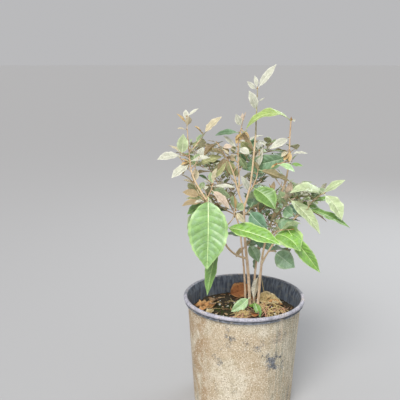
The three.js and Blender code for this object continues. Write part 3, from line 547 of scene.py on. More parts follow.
def grow_limbs():
    limbs = {}
    for name, (root, *shape) in LIMBS.items():
        rooted = root[0] not in limbs
        start = (*root, GROUND) if rooted else point_at(limbs[root[0]].curve, root[1])
        limbs[name] = Shoot(start, Shape(*shape), LIMB_STEPS, rooted)
    return limbs


def grow_shoot(start, shape, rows, crown):
    """A shoot with the leaves that its own rows name."""
    shoot = Shoot(start, shape)
    for at, *row in rows:
        leaf = Leaf(point_at(shoot.curve, at), *row)
        crown.keep(leaf, shoot)
        crown.show(leaf.rib, leaf.width * FINE.shown_share)
    return shoot


def sprout_leaves(shoot, count, longest, random, mass, crown, fine=False):
    """Leaves that turn round a shoot, small and upright at its tip, long and hanging at its base."""
    first = random() * 360
    for i in range(count):
        at = mix(RULE.first_leaf, 1, (i + 0.5) / count)
        age = 1 - at
        heading = first + i * RULE.turn + draw(RULE.turn_error, random)
        rise = mix(RULE.tip_rise, RULE.base_rise, age) + draw(RULE.rise_error, random)
        grown = mix(RULE.young_share, 1, math.sqrt(age))
        length = longest * grown * draw(RULE.size, random)
        width = length * draw(RULE.slender, random)
        arch, roll = draw(RULE.arch, random), draw(RULE.roll, random)
        tint = mass.tint(length / FINE.leaf_top if longest < FINE.leaf_top else age)
        leaf = Leaf(point_at(shoot.curve, at), heading, rise, length, width, arch, roll, tint)
        crown.try_leaf(leaf, shoot, mass, fine)


def side_shoots(carrier, count, plan, random, scale=1):
    """Bare shoots that turn round another one."""
    first = random() * 360
    for i in range(count):
        at = mix(*plan.span, (i + 0.5) / count)
        heading = first + i * RULE.turn + draw(RULE.turn_error, random)
        rise = draw(plan.rise, random)
        headings = (heading, heading + draw(RULE.sway, random))
        length = scale * draw(plan.length, random)
        shape = Shape(headings, (rise, rise + plan.lift), length, plan.thick)
        yield Shoot(point_at(carrier.curve, at), shape)


def grow_twigs(mass, random, crown):
    """Twigs that a mass names, then those that branch from its stem by rule."""
    stem, growth = mass.shoots[0], mass.growth
    thick = (stem.thick[0] * TWIG.thin, stem.thick[1])
    for at, *shape, rows in TWIGS.get(mass.name, ()):
        start = point_at(stem.curve, at)
        mass.shoots.append(grow_shoot(start, Shape(*shape, thick), rows, crown))
    plan = Values(**vars(TWIG), thick=thick)
    for twig in side_shoots(stem, growth.twigs, plan, random, growth.twig_length):
        if not crown.strays(twig.curve[-1], mass):
            mass.shoots.append(twig)
            longest = growth.leaf_length * TWIG.leaf_share
            sprout_leaves(twig, TWIG.leaves, longest, random, mass, crown)


def grow_sprigs(carrier, plan, random, crown, mass=None):
    """Leafy sprigs along a shoot or a bough. One on a bough is part of the nearest mass."""
    for sprig in side_shoots(carrier, round(carrier.length / plan.spacing), plan, random):
        tip = sprig.curve[-1]
        home = mass or min(crown.masses, key=lambda other: np.linalg.norm(other.centre - tip))
        if home.name in FINE.bald or crown.strays(tip, home):
            continue
        if crown.outside(sprig.curve[-2:], home):
            continue
        sprout_leaves(sprig, plan.leaves, plan.longest, random, home, crown, fine=True)
        if sprig.leaves:
            home.shoots.append(sprig)


def grow_fine(mass, random, crown):
    """Tufts, more leaves on each shoot and sprigs between them, as fine as on a real plant."""
    for at, *row in TUFTS.get(mass.name, ()):
        crown.keep(Leaf(point_at(mass.shoots[0].curve, at), *row), mass.shoots[0])
    if mass.name in FINE.bald:
        return
    longest = mass.growth.leaf_length * FINE.leaf_share
    for shoot in list(mass.shoots):
        count = round(shoot.length / FINE.leaf_spacing)
        sprout_leaves(shoot, count, longest, random, mass, crown, fine=True)
        grow_sprigs(shoot, SPRIG, random, crown, mass)


def grow_crown():
    crown = Crown(grow_limbs())
    for name, ((limb, share), *shape) in MASSES.items():
        start = point_at(crown.limbs[limb].curve, share)
        stem = grow_shoot(start, Shape(*shape), LEAVES.get(name, ()), crown)
        crown.masses.append(Mass(name, stem))
    for mass in crown.masses:
        random = seeded(mass.growth.seed)
        grow_twigs(mass, random, crown)
        sprouts, longest = mass.growth.sprouts, mass.growth.leaf_length
        sprout_leaves(mass.shoots[0], sprouts, longest, random, mass, crown)
    for name in FINE.shown_limbs:
        crown.show(crown.limbs[name].curve, FINE.shown_berth)
    for mass in crown.masses:
        grow_fine(mass, seeded(mass.growth.seed + SEEDS.fine), crown)
    boughs = [limb for limb in crown.limbs.values() if not limb.rooted]
    for number, bough in enumerate(boughs):
        grow_sprigs(bough, BOUGH_SPRIG, seeded(number + SEEDS.boughs), crown)
    return crown


# Meshes

# Leaf blades: lengths are in millimetres or, where the word is share, parts of the blade
LEAF = Values(
    petiole_short=3, petiole_share=0.06, petiole_radius=(0.62, 0.5), petiole_sunk=1.25,
    petiole_size=(0.5, 80, 1.25), petiole_rings=6, petiole_sides=6, petiole_end=0.5,
    base_swell=0.82, roundness=0.78, tip_taper=0.35, tip_from=0.7, pale_tip_from=0.93,
    first_row=0.012, last_row=0.985, inside=(0.004, 0.993), column_ease=0.9, cap_sunk=0.1,
    thick=(0.6, 0.35), thin_share=0.5, fold=12, sharp=55,
    midrib=(1.0, 0.25), midrib_from=110, midrib_thin=0.35, midrib_share=0.4,
    keel=0.6, ridge=0.15, groove=0.3, groove_ease=0.3,
    veins=(0.09, 0.88), vein_lean=0.17, vein_bend=1.2, vein_half=0.378, vein_taper=0.65,
    quilt=0.21, scallop=0.05, wave=(0.12, 0.1), waves=(2.6, 1.2), left_wave=0.37,
    sweep=(0, 0.16), twist=(0, 26), twist_from=0.3,
)
# What a leaf that curls as it dries gains: quilting, waves and how far its edges rise
CURL = Values(quilt=4, wave=0.4, rise=0.6)
# From each length: veins on a side, rows between them, columns on a side
DETAIL = ((75, 9, 3, 6), (44, 8, 2, 4), (24, 6, 1, 3), (0, 0, 6, 2))
ZONES = ("top", "vein", "midrib", "edge", "under", "rib", "petiole")


class Pile:
    """Pieces of one kind that become one mesh. A triangle's fourth corner is -1."""

    def __init__(self):
        self.points, self.faces, self.finishes, self.count, self.names = [], [], [], 0, []

    def add(self, points, faces, *finishes, zones=0):
        """Adds a piece with one finish, or several and the number of each face's among them."""
        self.names += [name for name in finishes if name not in self.names]
        numbers = np.array([self.names.index(name) for name in finishes])
        self.points.append(points)
        self.faces.append(np.where(faces < 0, -1, faces + self.count))
        self.finishes.append(np.broadcast_to(numbers[zones], len(faces)))
        self.count += len(points)


def placed(name, data, place=(0, 0, 0)):
    """An object in the scene."""
    made = bpy.data.objects.new(name, data)
    made.location = place
    bpy.context.scene.collection.objects.link(made)
    return made


def make_piece(name, pile, slot, *nodes, sharp=None, attributes=None):
    """One mesh object from a pile. It rides on the part's body and stands for CAD nodes.

    sharp is the angle in degrees from which an edge isn't smoothed, and attributes are values or
    vectors for its points.
    """
    points, faces = np.vstack(pile.points) * MM, np.vstack(pile.faces)
    sizes = (faces >= 0).sum(axis=1)
    corners = faces[faces >= 0]
    mesh = bpy.data.meshes.new(name)
    mesh.vertices.add(len(points))
    mesh.loops.add(len(corners))
    mesh.polygons.add(len(faces))
    for part, key, values in (
        (mesh.vertices, "co", points.astype(np.float32).ravel()),
        (mesh.loops, "vertex_index", corners.astype(np.int32)),
        (mesh.polygons, "loop_start", (np.cumsum(sizes) - sizes).astype(np.int32)),
        (mesh.polygons, "material_index", np.concatenate(pile.finishes).astype(np.int32)),
        (mesh.polygons, "use_smooth", np.ones(len(faces), bool)),
    ):
        part.foreach_set(key, values)
    for finish in pile.names:
        mesh.materials.append(look(finish))
    mesh.update(calc_edges=True)
    mesh.validate()
    if sharp:
        mesh.set_sharp_from_angle(angle=math.radians(sharp))
    for key, values in (attributes or {}).items():
        kind, field = ("FLOAT", "value") if values.ndim == 1 else ("FLOAT_VECTOR", "vector")
        data = mesh.attributes.new(key, kind, "POINT").data
        data.foreach_set(field, values.astype(np.float32).ravel())
    piece = placed(name, mesh)
    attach(piece, ROOT)
    if nodes:
        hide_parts(*nodes)


def smoothstep(value, low, high):
    share = np.clip((value - low) / (high - low), 0, 1)
    return share * share * (3 - 2 * share)


def rough(point, scale, octaves=3):
    """Smooth noise between about -1 and 1. scale is the size of its features."""
    return noise.fractal(Vector(point) / scale, 1.0, 2.0, octaves)


def circle(sides):
    """Angles evenly round a circle, and the points of a unit circle there."""
    turn = 2 * np.pi * np.arange(sides) / sides
    return turn, np.stack([np.cos(turn), np.sin(turn)], axis=1)


def resample(curve, step):
    """Points along a curve at even steps, and how far along it each is."""
    gaps = np.linalg.norm(np.diff(curve, axis=0), axis=1)
    along = np.concatenate([[0], np.cumsum(gaps)])
    places = np.linspace(0, along[-1], max(int(along[-1] / step) + 1, 3))
    return np.stack([np.interp(places, along, curve[:, k]) for k in range(3)], axis=1), places


def fan(*corners):
    """Triangles whose corners are each one point, or a row of points."""
    return np.stack(np.broadcast_arrays(*corners, -1), axis=1)


def ring_faces(rings, sides, closed=True):
    """Faces between rings of points, each counter-clockwise about the way of travel, with caps."""
    k, i = np.meshgrid(np.arange(rings - 1), np.arange(sides), indexing="ij")
    a, b = k * sides + i, k * sides + (i + 1) % sides
    faces = np.stack([a, b, b + sides, a + sides], axis=-1).reshape(-1, 4)
    if not closed:
        return faces
    start, last = rings * sides, (rings - 1) * sides
    return np.vstack([faces, fan(start, b[0], a[0]), fan(start + 1, last + a[0], last + b[0])])


def tube(path, radii, sides=None):
    """A tube along a path, whose radii have one for each point, or also one for each side."""
    if radii.ndim == 1:
        radii = np.tile(radii[:, None], (1, sides))
    ways = unit(np.gradient(path, axis=0))
    across = [np.array([1.0, 0, 0]) if abs(ways[0][0]) < 0.9 else np.array([0, 1.0, 0])]
    for way in ways:
        across.append(unit(across[-1] - across[-1] @ way * way))
    across = np.array(across[1:])
    cos, sin = circle(radii.shape[1])[1].T[:, :, None]
    out = cos * across[:, None] + sin * np.cross(ways, across)[:, None]
    rings = path[:, None] + radii[..., None] * out
    points = np.vstack([rings.reshape(-1, 3), path[0], path[-1]])
    return points, ring_faces(len(path), radii.shape[1])


def outline(share):
    """Half the blade's width, as a share of half its greatest width."""
    taper = 1 - LEAF.tip_taper * smoothstep(share, LEAF.tip_from, 1)
    return np.sin(np.pi * share ** LEAF.base_swell) ** LEAF.roundness * taper


def blade_rows(veins, between):
    """Rows across a blade: place along it, side of a vein it borders, and share of the way
    between two veins. A strip between a row that borders a vein and the next one is the vein."""
    first, last = LEAF.veins
    places = [mix(first, last, k / (veins - 1)) for k in range(veins)] if veins else []
    ends = [LEAF.first_row, *places, LEAF.last_row]
    rows = []
    for k in range(len(ends) - 1):
        for i in range(between + 2):
            share = i / (between + 1)
            side = 1 if i == 0 and k > 0 else -1 if i == between + 1 and k < veins else 0
            rows.append((mix(ends[k], ends[k + 1], share), side, share))
    return np.array(rows).T


def quads(grid):
    corners = [grid[:-1, :-1], grid[:-1, 1:], grid[1:, 1:], grid[1:, :-1]]
    return np.stack(corners, axis=-1).reshape(-1, 4)


def blade_grid(veins, between, columns):
    """The rows and columns of a blade, its faces and the zone that each is in."""
    place, side, share = blade_rows(veins, between)
    out = (np.arange(1, columns + 1) / columns) ** LEAF.column_ease
    u = np.concatenate([out[::-1], [0, 0, 0], out])
    hand = np.repeat([-1, 0, 1], [columns + 1, 1, columns + 1])
    rows, across = len(place), len(u)
    over = np.arange(rows * across).reshape(rows, across)
    under = over.copy()
    under[:, 1:-1] = rows * across + np.arange(rows * (across - 2)).reshape(rows, across - 2)
    base = rows * across + rows * (across - 2)
    tip = base + 1
    faces = np.vstack([
        quads(over), quads(under)[:, [0, 3, 2, 1]],
        fan(base, over[0, 1:], over[0, :-1]), fan(over[-1, :-1], over[-1, 1:], tip),
        fan(base, under[0, :-1], under[0, 1:]), fan(under[-1, :-1], tip, under[-1, 1:]),
    ])
    zone = {name: number for number, name in enumerate(ZONES)}
    above = np.full((rows - 1, across - 1), zone["top"])
    below = np.full((rows - 1, across - 1), zone["under"])
    above[side[:-1] == -1], below[side[:-1] == -1] = zone["vein"], zone["rib"]
    # The outer strips and the tip take the paler edge colour, partly painted rim light.
    above[:, [0, -1]] = above[place[:-1] > LEAF.pale_tip_from] = zone["edge"]
    middle = slice(columns, columns + 2)
    above[:, middle], below[:, middle] = zone["midrib"], zone["rib"]
    caps = np.repeat([zone["top"], zone["under"]], 2 * (across - 1))
    return {"place": place, "side": side, "share": share, "u": u, "hand": hand, "veins": veins,
            "faces": faces, "zones": np.concatenate([above.ravel(), below.ravel(), caps])}


GRIDS = [(shortest, blade_grid(*plan)) for shortest, *plan in DETAIL]


def blade_plan(leaf, grid, blade, narrow, curl):
    """Where the points of a flat blade lie along the midrib and beside it, and how far it swells
    there between its veins. blade is its length, and narrow is how much of a full midrib it has."""
    place, side, between = (grid[key][:, None] for key in ("place", "side", "share"))
    u, veined = grid["u"], grid["veins"] > 0
    half_vein = side * LEAF.vein_half * narrow / blade * (1 - LEAF.vein_taper * u)
    lean = LEAF.vein_lean * u ** LEAF.vein_bend * np.sin(np.pi * place)
    s = np.clip(place + half_vein + lean, *LEAF.inside)
    bulge = np.sin(np.pi * between) * veined
    scallop = LEAF.scallop * (bulge**2 - 0.5 * veined)
    half = outline(s) * leaf.width / 2 * (1 + scallop * u**2)
    rib = mix(*LEAF.midrib, s) * mix(LEAF.midrib_thin, 1, narrow)
    rib = np.minimum(rib, half * LEAF.midrib_share)
    gap = blade * (LEAF.veins[1] - LEAF.veins[0]) / max(grid["veins"] - 1, 1)
    swell = LEAF.quilt * (1 + CURL.quilt * curl) * gap * bulge
    swell = swell * np.sqrt(u) * (1 - u**3) * half / (leaf.width / 2)
    return s, grid["hand"] * (rib + (half - rib) * u), swell


def edge_waves(leaf, s, x, random, curl):
    """How far a blade rises toward its edge, in waves that differ from side to side."""
    wave, waves = draw(LEAF.wave, random), draw(LEAF.waves, random)
    ripple = np.sin(2 * np.pi * (waves * s + random() + LEAF.left_wave * (x < 0)))
    rise = (wave + CURL.wave * curl) / 2 * ripple + CURL.rise * curl
    return rise * leaf.width * (np.abs(x) / (leaf.width / 2)) ** 2


def twisted(leaf, s, x, z, random):
    """The cross-sections of a blade, twisted more toward its tip and swept to one side."""
    twist = math.radians(draw(LEAF.twist, random)) * (s - LEAF.twist_from)
    x, z = x * np.cos(twist) - z * np.sin(twist), x * np.sin(twist) + z * np.cos(twist)
    return x + draw(LEAF.sweep, random) * leaf.width * np.sin(np.pi * s), z


def thickness(grid, s, narrow):
    """How thick a blade is, with its keel and its ribs below."""
    thick = mix(*LEAF.thick, s) * mix(LEAF.thin_share, 1, narrow)
    thick = thick + LEAF.keel * narrow * (grid["hand"] == 0) * np.sqrt(1 - s)
    return thick + LEAF.ridge * narrow * (grid["side"][:, None] != 0)


def leaf_mesh(leaf, random, curl):
    """Points, faces and zones of a blade with sunk veins, raised ribs below and a wavy edge."""
    grid = next(grid for shortest, grid in GRIDS if leaf.length >= shortest)
    petiole = LEAF.petiole_short / leaf.length + LEAF.petiole_share
    narrow = min(leaf.length / LEAF.midrib_from, 1)
    s, x, swell = blade_plan(leaf, grid, leaf.length * (1 - petiole), narrow, curl)
    groove = narrow * (grid["hand"] == 0) * np.sin(np.pi * s) ** LEAF.groove_ease
    fold = np.abs(x) * math.tan(math.radians(LEAF.fold))
    z = fold + swell + edge_waves(leaf, s, x, random, curl) - LEAF.groove * groove
    x, z = twisted(leaf, s, x, z, random)
    points, normals, ways = leaf.midrib(petiole + (1 - petiole) * s)
    over = points + np.cross(ways, normals) * x[..., None] + normals * z[..., None]
    below = over - normals * thickness(grid, s, narrow)[..., None]
    ends, up, _ = leaf.midrib(np.array([petiole, 1.0]))
    cap = ends - up * LEAF.cap_sunk * narrow
    flat = np.vstack([over.reshape(-1, 3), below[:, 1:-1].reshape(-1, 3), cap])
    return flat, grid["faces"], grid["zones"], petiole


def add_leaf(pile, leaf, random, curl=0.0):
    points, faces, zones, petiole = leaf_mesh(leaf, random, curl)
    names = [f"{leaf.tint} {zone}" for zone in ZONES]
    pile.add(points, faces, *names, zones=zones)
    rings = LEAF.petiole_rings
    least, slope, most = LEAF.petiole_size
    stalk = leaf.midrib(np.linspace(0, petiole * LEAF.petiole_sunk, rings))[0]
    radius = np.linspace(*LEAF.petiole_radius, rings) * min(least + leaf.length / slope, most)
    radius[-1] *= LEAF.petiole_end
    pile.add(*tube(stalk, radius, LEAF.petiole_sides), names[-1])


BARK = Values(
    step=1.0, sides=20, fissure=0.07, fissure_size=(1.1, 9),
    node_gap=17, node_swell=0.16, node_half=1.3, node_turn=2.4, collar=0.28, collar_length=4,
    flare_height=10, flare_share=0.5, flare_bend=1.5, sunk=4, sunk_swell=1.15,
    grain_shift=7, seed_step=3.7,
)
TWIG_BARK = Values(**vars(BARK) | dict(
    step=1.8, sides=10, fissure=0.05, fissure_size=(0.8, 5), node_gap=9, node_swell=0.2,
    node_half=0.9,
))
# A bud at the tip of each shoot is sized in shares of the shoot's thickness. One in a leaf's axil
# stands out by a share of it, leans up from the leaf, and is longer than it by millimetres.
BUD = Values(sides=8, rings=6, part=(0.12, 0.86), ease=0.8, tip=0.04)
TIP_BUD = Values(sunk=0.4, length=3.4, width=1.25)
AXIL_BUD = Values(out=0.3, rise=0.9, length=2.0, width=1.3)


def bark_rings(shoot, plan):
    """A limb's path, with how far along each point is and the radius there. A stem flares at its
    foot and goes on into the soil, and any other limb has a collar."""
    path, along = resample(shoot.curve, plan.step)
    radius = mix(*shoot.thick, along / along[-1]) / 2
    if not shoot.rooted:
        return path, along, radius * (1 + plan.collar * np.exp(-along / plan.collar_length))
    flare = np.maximum(0, 1 - along / plan.flare_height) ** plan.flare_bend
    radius = radius * (1 + plan.flare_share * flare)
    path = np.vstack([path[0] - np.array([0, 0, plan.sunk]), path])
    return path, np.append(-plan.sunk, along), np.append(radius[0] * plan.sunk_swell, radius)


def bark(shoot, plan, seed):
    """A limb's skin, with fissures along it and a swelling at every leaf scar, and its grain."""
    path, along, radius = bark_rings(shoot, plan)
    gap = plan.node_gap
    nodes = np.exp(-(((along + seed) % gap - gap / 2) / plan.node_half) ** 2)
    turn, around = circle(plan.sides)
    wide, long = plan.fissure_size
    radii = np.zeros((len(path), len(turn)))
    for i, r in enumerate(radius):
        scar = plan.node_turn * math.floor((along[i] + seed) / gap)
        for k, (cos, sin) in enumerate(around):
            crack = rough((r * cos / wide, r * sin / wide, along[i] / long + seed), 1)
            lump = nodes[i] * plan.node_swell * (0.5 + 0.5 * math.cos(turn[k] - scar))
            radii[i, k] = r * (1 + plan.fissure * crack) + lump
    shift = np.broadcast_to(along + seed * plan.grain_shift, (len(turn), len(along))).T
    grain = np.dstack([radius[:, None, None] * around, shift]).reshape(-1, 3)
    grain = np.vstack([grain, [0, 0, along[0]], [0, 0, along[-1]]])
    return *tube(path, radii), grain * MM


def bud(point, way, length, width):
    """A small pointed bud."""
    share = np.linspace(0, 1, BUD.rings)
    first, part = BUD.part
    radius = width / 2 * np.sin(np.pi * (first + part * share) ** BUD.ease)
    return tube(point + share[:, None] * way * length, np.maximum(radius, BUD.tip), BUD.sides)


# Looks

# Top, midrib, edge, underside and ribs of the leaves of each tint, and how rough they are. The edge
# colour is paler than the top, partly the margin's own tone and partly painted rim light
TINTS = {
    "hero": ("8cb46c", "d4e8ac", "a4c880", "b4b48c", "c8c298", 0.32),
    "bright": ("8abc50", "d0e89c", "bcdc8c", "b2b28a", "c8c298", 0.34),
    "green": ("749c50", "b0cc88", "92b66a", "aaa982", "bfb78e", 0.36),
    "teal": ("6c9672", "b4d0b4", "84ac8c", "9a9c7e", "b2ae8c", 0.32),
    "mist": ("88aa80", "b8ceac", "a0ba94", "aeac88", "b8b290", 0.38),
    "dark": ("64845e", "9cb892", "7c9c74", "a09a74", "a89e76", 0.36),
    "sage": ("94a87c", "c0cba0", "aabb8c", "c4be9c", "ccc29a", 0.48),
    "olive": ("a4a874", "c6c696", "b6b686", "c0b28a", "bca67e", 0.52),
    "lime": ("a4bc6a", "ccd89a", "bccc88", "b8b88c", "c0ba90", 0.42),
    "pale": ("bccc9c", "dee6c0", "ccdaae", "ceccaa", "ccc4a0", 0.44),
    "fresh": ("aed494", "dcf0c0", "cce8b4", "c4caa0", "ccc8a4", 0.42),
    "silver": ("cccebc", "e2e2d2", "dcdccc", "d6d1be", "bcac8a", 0.6),
    "cream": ("ccc2a0", "e0d6b8", "dcd2b4", "cec2a4", "b4a074", 0.64),
    "pink": ("cab6a2", "e0d0ba", "dac8b2", "ccbca0", "b4967a", 0.64),
    "bronze": ("ae9a74", "c4b08a", "bca680", "b8a27e", "92744c", 0.64),
    "gold": ("ccac74", "d8bc86", "d4b87e", "c4a670", "a07844", 0.7),
    "tan": ("c0905c", "ac7e4c", "d0a46e", "b08a5c", "946c42", 0.8),
    "blush": ("c8a284", "b08868", "d8b89a", "b89a7c", "9c7a5c", 0.8),
    "rust": ("ac7044", "8a5230", "bc8656", "a87850", "84583a", 0.8),
    "straw": ("d0ba86", "b8a068", "dccaa0", "c6b48c", "a08c5c", 0.8),
    "dun": ("967c5e", "806650", "a68c6c", "8e785e", "745a44", 0.85),
}
YOUNG = ("silver", "cream", "pink", "gold", "bronze")
DEAD = ("tan", "blush", "rust", "straw", "dun")
PAINTED_SHEEN_TINTS = ("hero", "bright", "teal", "mist", "dark", "fresh")
# How much darker the sunk veins are painted than the tint, as painted shade in them, and the ground,
# the tint of the painted sheen, a painted reflection of the sky on glossy tops, how rough scaly
# leaves are and how glossy the others, and the size and depth of the relief
LEAF_FINISH = Values(
    vein=0.73, ground=0.93, bloom="a8c8b4", scaly=0.68, gloss=0.3, specular=0.4,
    relief=1.6, scaly_relief=0.8, depth=0.12, dry_depth=0.3,
)
COAT_ROUGHNESS = 0.3
# Layers of spots: a colour or a shade of the one below, their size in millimetres and detail,
# from which level of the noise they begin and are full, and how far they cover
SPOTS = {
    "broad": (1.05, 9, 2, 0.35, 0.65, 1),
    # Next: pale patches blended from the leaf's tint, a painted sheen that stands for the sky's
    # reflection
    "bloom": (None, 6, 2, 0.42, 0.62, 0.5),
    "fine": (0.8, 0.9, 2, 0.45, 0.7, 0.35),
    "brown_scales": ("8f6f45", 0.55, 1, 0.62, 0.68, 0.55),
    "silver_scales": ("e8e6d6", 0.4, 1, 0.6, 0.68, 0.5),
    "pale_scales": ("dfe4cf", 0.5, 1, 0.66, 0.72, 0.3),
    "blotches": (0.62, 5, 3, 0.52, 0.62, 0.55),
    "mud": ("e2d8c4", 14, 3, 0.35, 0.65, 1),
    "loam": ("c0a888", 70, 2, 0.45, 0.6, 0.55),
    "mud_crumbs": ("6c5c42", 1.3, 1, 0.61, 0.66, 0.7),
    "mud_grains": ("f0e8d4", 1.9, 1, 0.58, 0.65, 0.75),
    "plastic": ("878b93", 6, 3, 0.35, 0.7, 1),
    "dust": ("8f9088", 7, 4, 0.5, 0.7, 0.5),
}
# What covers bark, the pot's wall and its inside, and grainy things. Noise has its size, but that
# of a grain, then its detail and roughness, and how it is stretched. A band has the levels between
# which a cover begins and is full, and then how far it covers at both.
BARK_COVER = Values(
    roughness=0.72, streaks=(0.9, 4.0, 0.6, (1, 1, 0.14)), streak_band=(0.35, 0.68),
    patches=(2.2, 2.0, 0.5, (1, 1, 0.3)), patch_band=(0.52, 0.7, 0, 0.7),
    spots=(0.7, 1.0), spot_band=(0.66, 0.7, 0, 0.5), spot_shade=0.8,
)
WALL_COVER = Values(
    roughness=(0.42, 0.95), depth=0.4, mud_relief=0.6,
    grit=(1.5, 3.0, 0.65), ragged_band=(0.3, 0.7, -0.25, 0.25), mud_band=(0.3, 0.55),
    mud="cbbfa6", brown="ac8c68", damp="a6a696", damp_share=0.85,
    specks=(2.1, 2.0, 0.7), speck_band=(0.53, 0.6, 0, 0.62), speck="9a8664",
    # Noise, band and pale colour of a painted highlight on the rim's top, then the plastic
    scuffs=(2.5, 4.0), scuff_band=(0.3, 0.6, 0.35, 1), scuff="ccc9d6", plastic="53585f",
)
INSIDE_COVER = Values(
    streaks=(4, 4.0, 0.55, (1, 1, 0.12)), streak_band=(0.38, 0.66),
    dark="4a5260", light="78828f", depth=0.2,
)
GRAIN_COVER = Values(
    roughness=0.9, grain=(4.0, 0.65), grain_band=(0.35, 0.65),
    light_size=0.6, light_detail=2.0, light_band=(0.6, 0.68),
)
# Base, dark and light colour of the bark, and its depth
BARKS = {
    "stem": ("ecd6b8", "cca884", "f8ead6", 0.25),
    "bough": ("ecd6b4", "d0b088", "f8eacc", 0.2),
    "leader": ("c2bc9a", "a4946e", "d6d0b4", 0.18),
    "twig": ("dcc2a0", "be9c78", "eadac0", 0.15),
}
# Base, dark and light colour of grainy things, size of the grain, depth, and roughness
GRAINS = {
    "bud": ("b0864f", "86603a", "d6bf92", 0.5, 0.15),
    "soil": ("443b2a", "2a241a", "6a5b42", 2.2, 0.8, 1.0),
    "crumb": ("54462f", "32281c", "7c6c4e", 1.4, 0.3, 1.0),
    "chip": ("94704c", "664630", "b8946a", 1.6, 0.3),
    "rust_chip": ("9a5c3a", "6c3c24", "bc8058", 1.6, 0.3),
    "pale_chip": ("cdae86", "9c7c58", "e4cfa8", 1.6, 0.3),
    "grit": ("e6e3da", "c4bfb2", "f4f2ec", 1.2, 0.2),
    "straw": ("d0bb86", "a68e56", "e4d6ac", 1.5, 0.15),
    "root": ("c99c80", "a0735a", "debaa0", 1.5, 0.15),
    "moss": ("4e5c2e", "343e1e", "808c4a", 1.2, 0.2),
    "sprout": ("86b84a", "648e34", "b0d478", 1.2, 0.2),
}


def channels(text):
    return [int(text[i : i + 2], 16) for i in (0, 2, 4)]


def colour(value):
    """A linear colour from a screen colour written in hexadecimal. Other values stay."""
    if not isinstance(value, str):
        return value
    shares = [c / 255 for c in channels(value)]
    return (*(c / 12.92 if c <= 0.04045 else ((c + 0.055) / 1.055) ** 2.4 for c in shares), 1)


def shaded(text, factor):
    """The same colour, lighter or darker."""
    return "".join(f"{min(255, max(0, round(c * factor))):02x}" for c in channels(text))


def blended(text, other, share=0.5):
    """A colour between two."""
    return "".join(f"{round(mix(a, b, share)):02x}" for a, b in zip(channels(text), channels(other)))


class Graph:
    """A material and a short way to add nodes to it."""

    def __init__(self, name, roughness=0.5, coat=0.0, specular=0.5):
        self.material = bpy.data.materials.new(name)
        self.material.use_nodes = True
        self.tree = self.material.node_tree
        self.shader = self.tree.nodes["Principled BSDF"]
        for key, value in (("Roughness", roughness), ("Specular IOR Level", specular),
                           ("Coat Weight", coat), ("Coat Roughness", COAT_ROUGHNESS)):
            self.shader.inputs[key].default_value = value
        self.coordinates = self.node("TexCoord").outputs["Object"]

    def node(self, kind, inputs=(), **settings):
        """A node with its inputs fed, by name or number, from sockets, numbers or colours."""
        made = self.tree.nodes.new("ShaderNode" + kind)
        for key, value in settings.items():
            setattr(made, key, value)
        for key, value in dict(inputs).items():
            self.feed(made.inputs[key], value)
        return made

    def feed(self, socket, value):
        if isinstance(value, bpy.types.NodeSocket):
            self.tree.links.new(value, socket)
        else:
            socket.default_value = colour(value)

    def noise(self, size, detail=3.0, roughness=0.55, stretch=None, place=None):
        """Noise from 0 to 1 with features of a size in millimetres."""
        place = self.coordinates if place is None else place
        if stretch:
            place = self.node("Mapping", {"Vector": place, "Scale": stretch}).outputs[0]
        inputs = {"Vector": place, "Scale": 1 / (size * MM), "Detail": detail,
                  "Roughness": roughness}
        return self.node("TexNoise", inputs).outputs[0]

    def band(self, value, low, high, start=0.0, end=1.0):
        """A value that goes from start to end as another goes from low to high."""
        inputs = {"Value": value, "From Min": low, "From Max": high, "To Min": start, "To Max": end}
        return self.node("MapRange", inputs, interpolation_type="SMOOTHSTEP").outputs[0]

    def calc(self, operation, a, b):
        return self.node("Math", {0: a, 1: b}, operation=operation).outputs[0]

    def mixed(self, share, a, b):
        return self.node("Mix", {0: share, 6: a, 7: b}, data_type="RGBA").outputs[2]

    def spotted(self, paint, *spots, base=None):
        """Paint under layers of spots."""
        for shade, size, detail, low, high, share in spots:
            cover = self.band(self.noise(size, detail), low, high, 0, share)
            paint = self.mixed(cover, paint, shade if isinstance(shade, str) else shaded(base, shade))
        return paint

    def attribute(self, name, output="Fac"):
        return self.node("Attribute", attribute_name=name).outputs[output]

    def paint(self, value):
        self.feed(self.shader.inputs["Base Color"], value)

    def bump(self, height, depth):
        """Relief that is depth millimetres deep."""
        made = self.node("Bump", {"Strength": 1.0, "Distance": depth * MM, "Height": height})
        self.feed(self.shader.inputs["Normal"], made.outputs[0])


def leaf_look(name):
    """The look of one zone of the leaves of one tint."""
    tint, zone = name.split()
    top, midrib, edge, under, rib, rough = TINTS[tint]
    # The vein strips on top are painted darker than the blade: painted shade in the sunk veins.
    base = {"top": top, "vein": shaded(top, LEAF_FINISH.vein), "midrib": midrib, "edge": edge,
            "under": under, "rib": rib, "petiole": midrib}[zone]
    silvery = tint in YOUNG or zone in ("under", "rib")
    dry = tint in DEAD
    layers = ["broad", "fine"]
    # Glossy tints get a painted sheen on their upper side.
    if tint in PAINTED_SHEEN_TINTS and zone in ("top", "vein"):
        layers.insert(1, "bloom")
    if silvery:
        layers += ["brown_scales", "silver_scales"]
    else:
        layers.append("blotches" if dry else "pale_scales")
    graph = Graph(name, LEAF_FINISH.scaly if silvery and not dry else rough,
                  0.0 if silvery or dry else LEAF_FINISH.gloss, LEAF_FINISH.specular)
    spots = [(SPOTS[layer][0] or blended(base, LEAF_FINISH.bloom), *SPOTS[layer][1:])
             for layer in layers]
    graph.paint(graph.spotted(shaded(base, LEAF_FINISH.ground), *spots, base=base))
    relief = graph.noise(LEAF_FINISH.scaly_relief if silvery else LEAF_FINISH.relief)
    graph.bump(relief, LEAF_FINISH.dry_depth if dry else LEAF_FINISH.depth)
    return graph.material


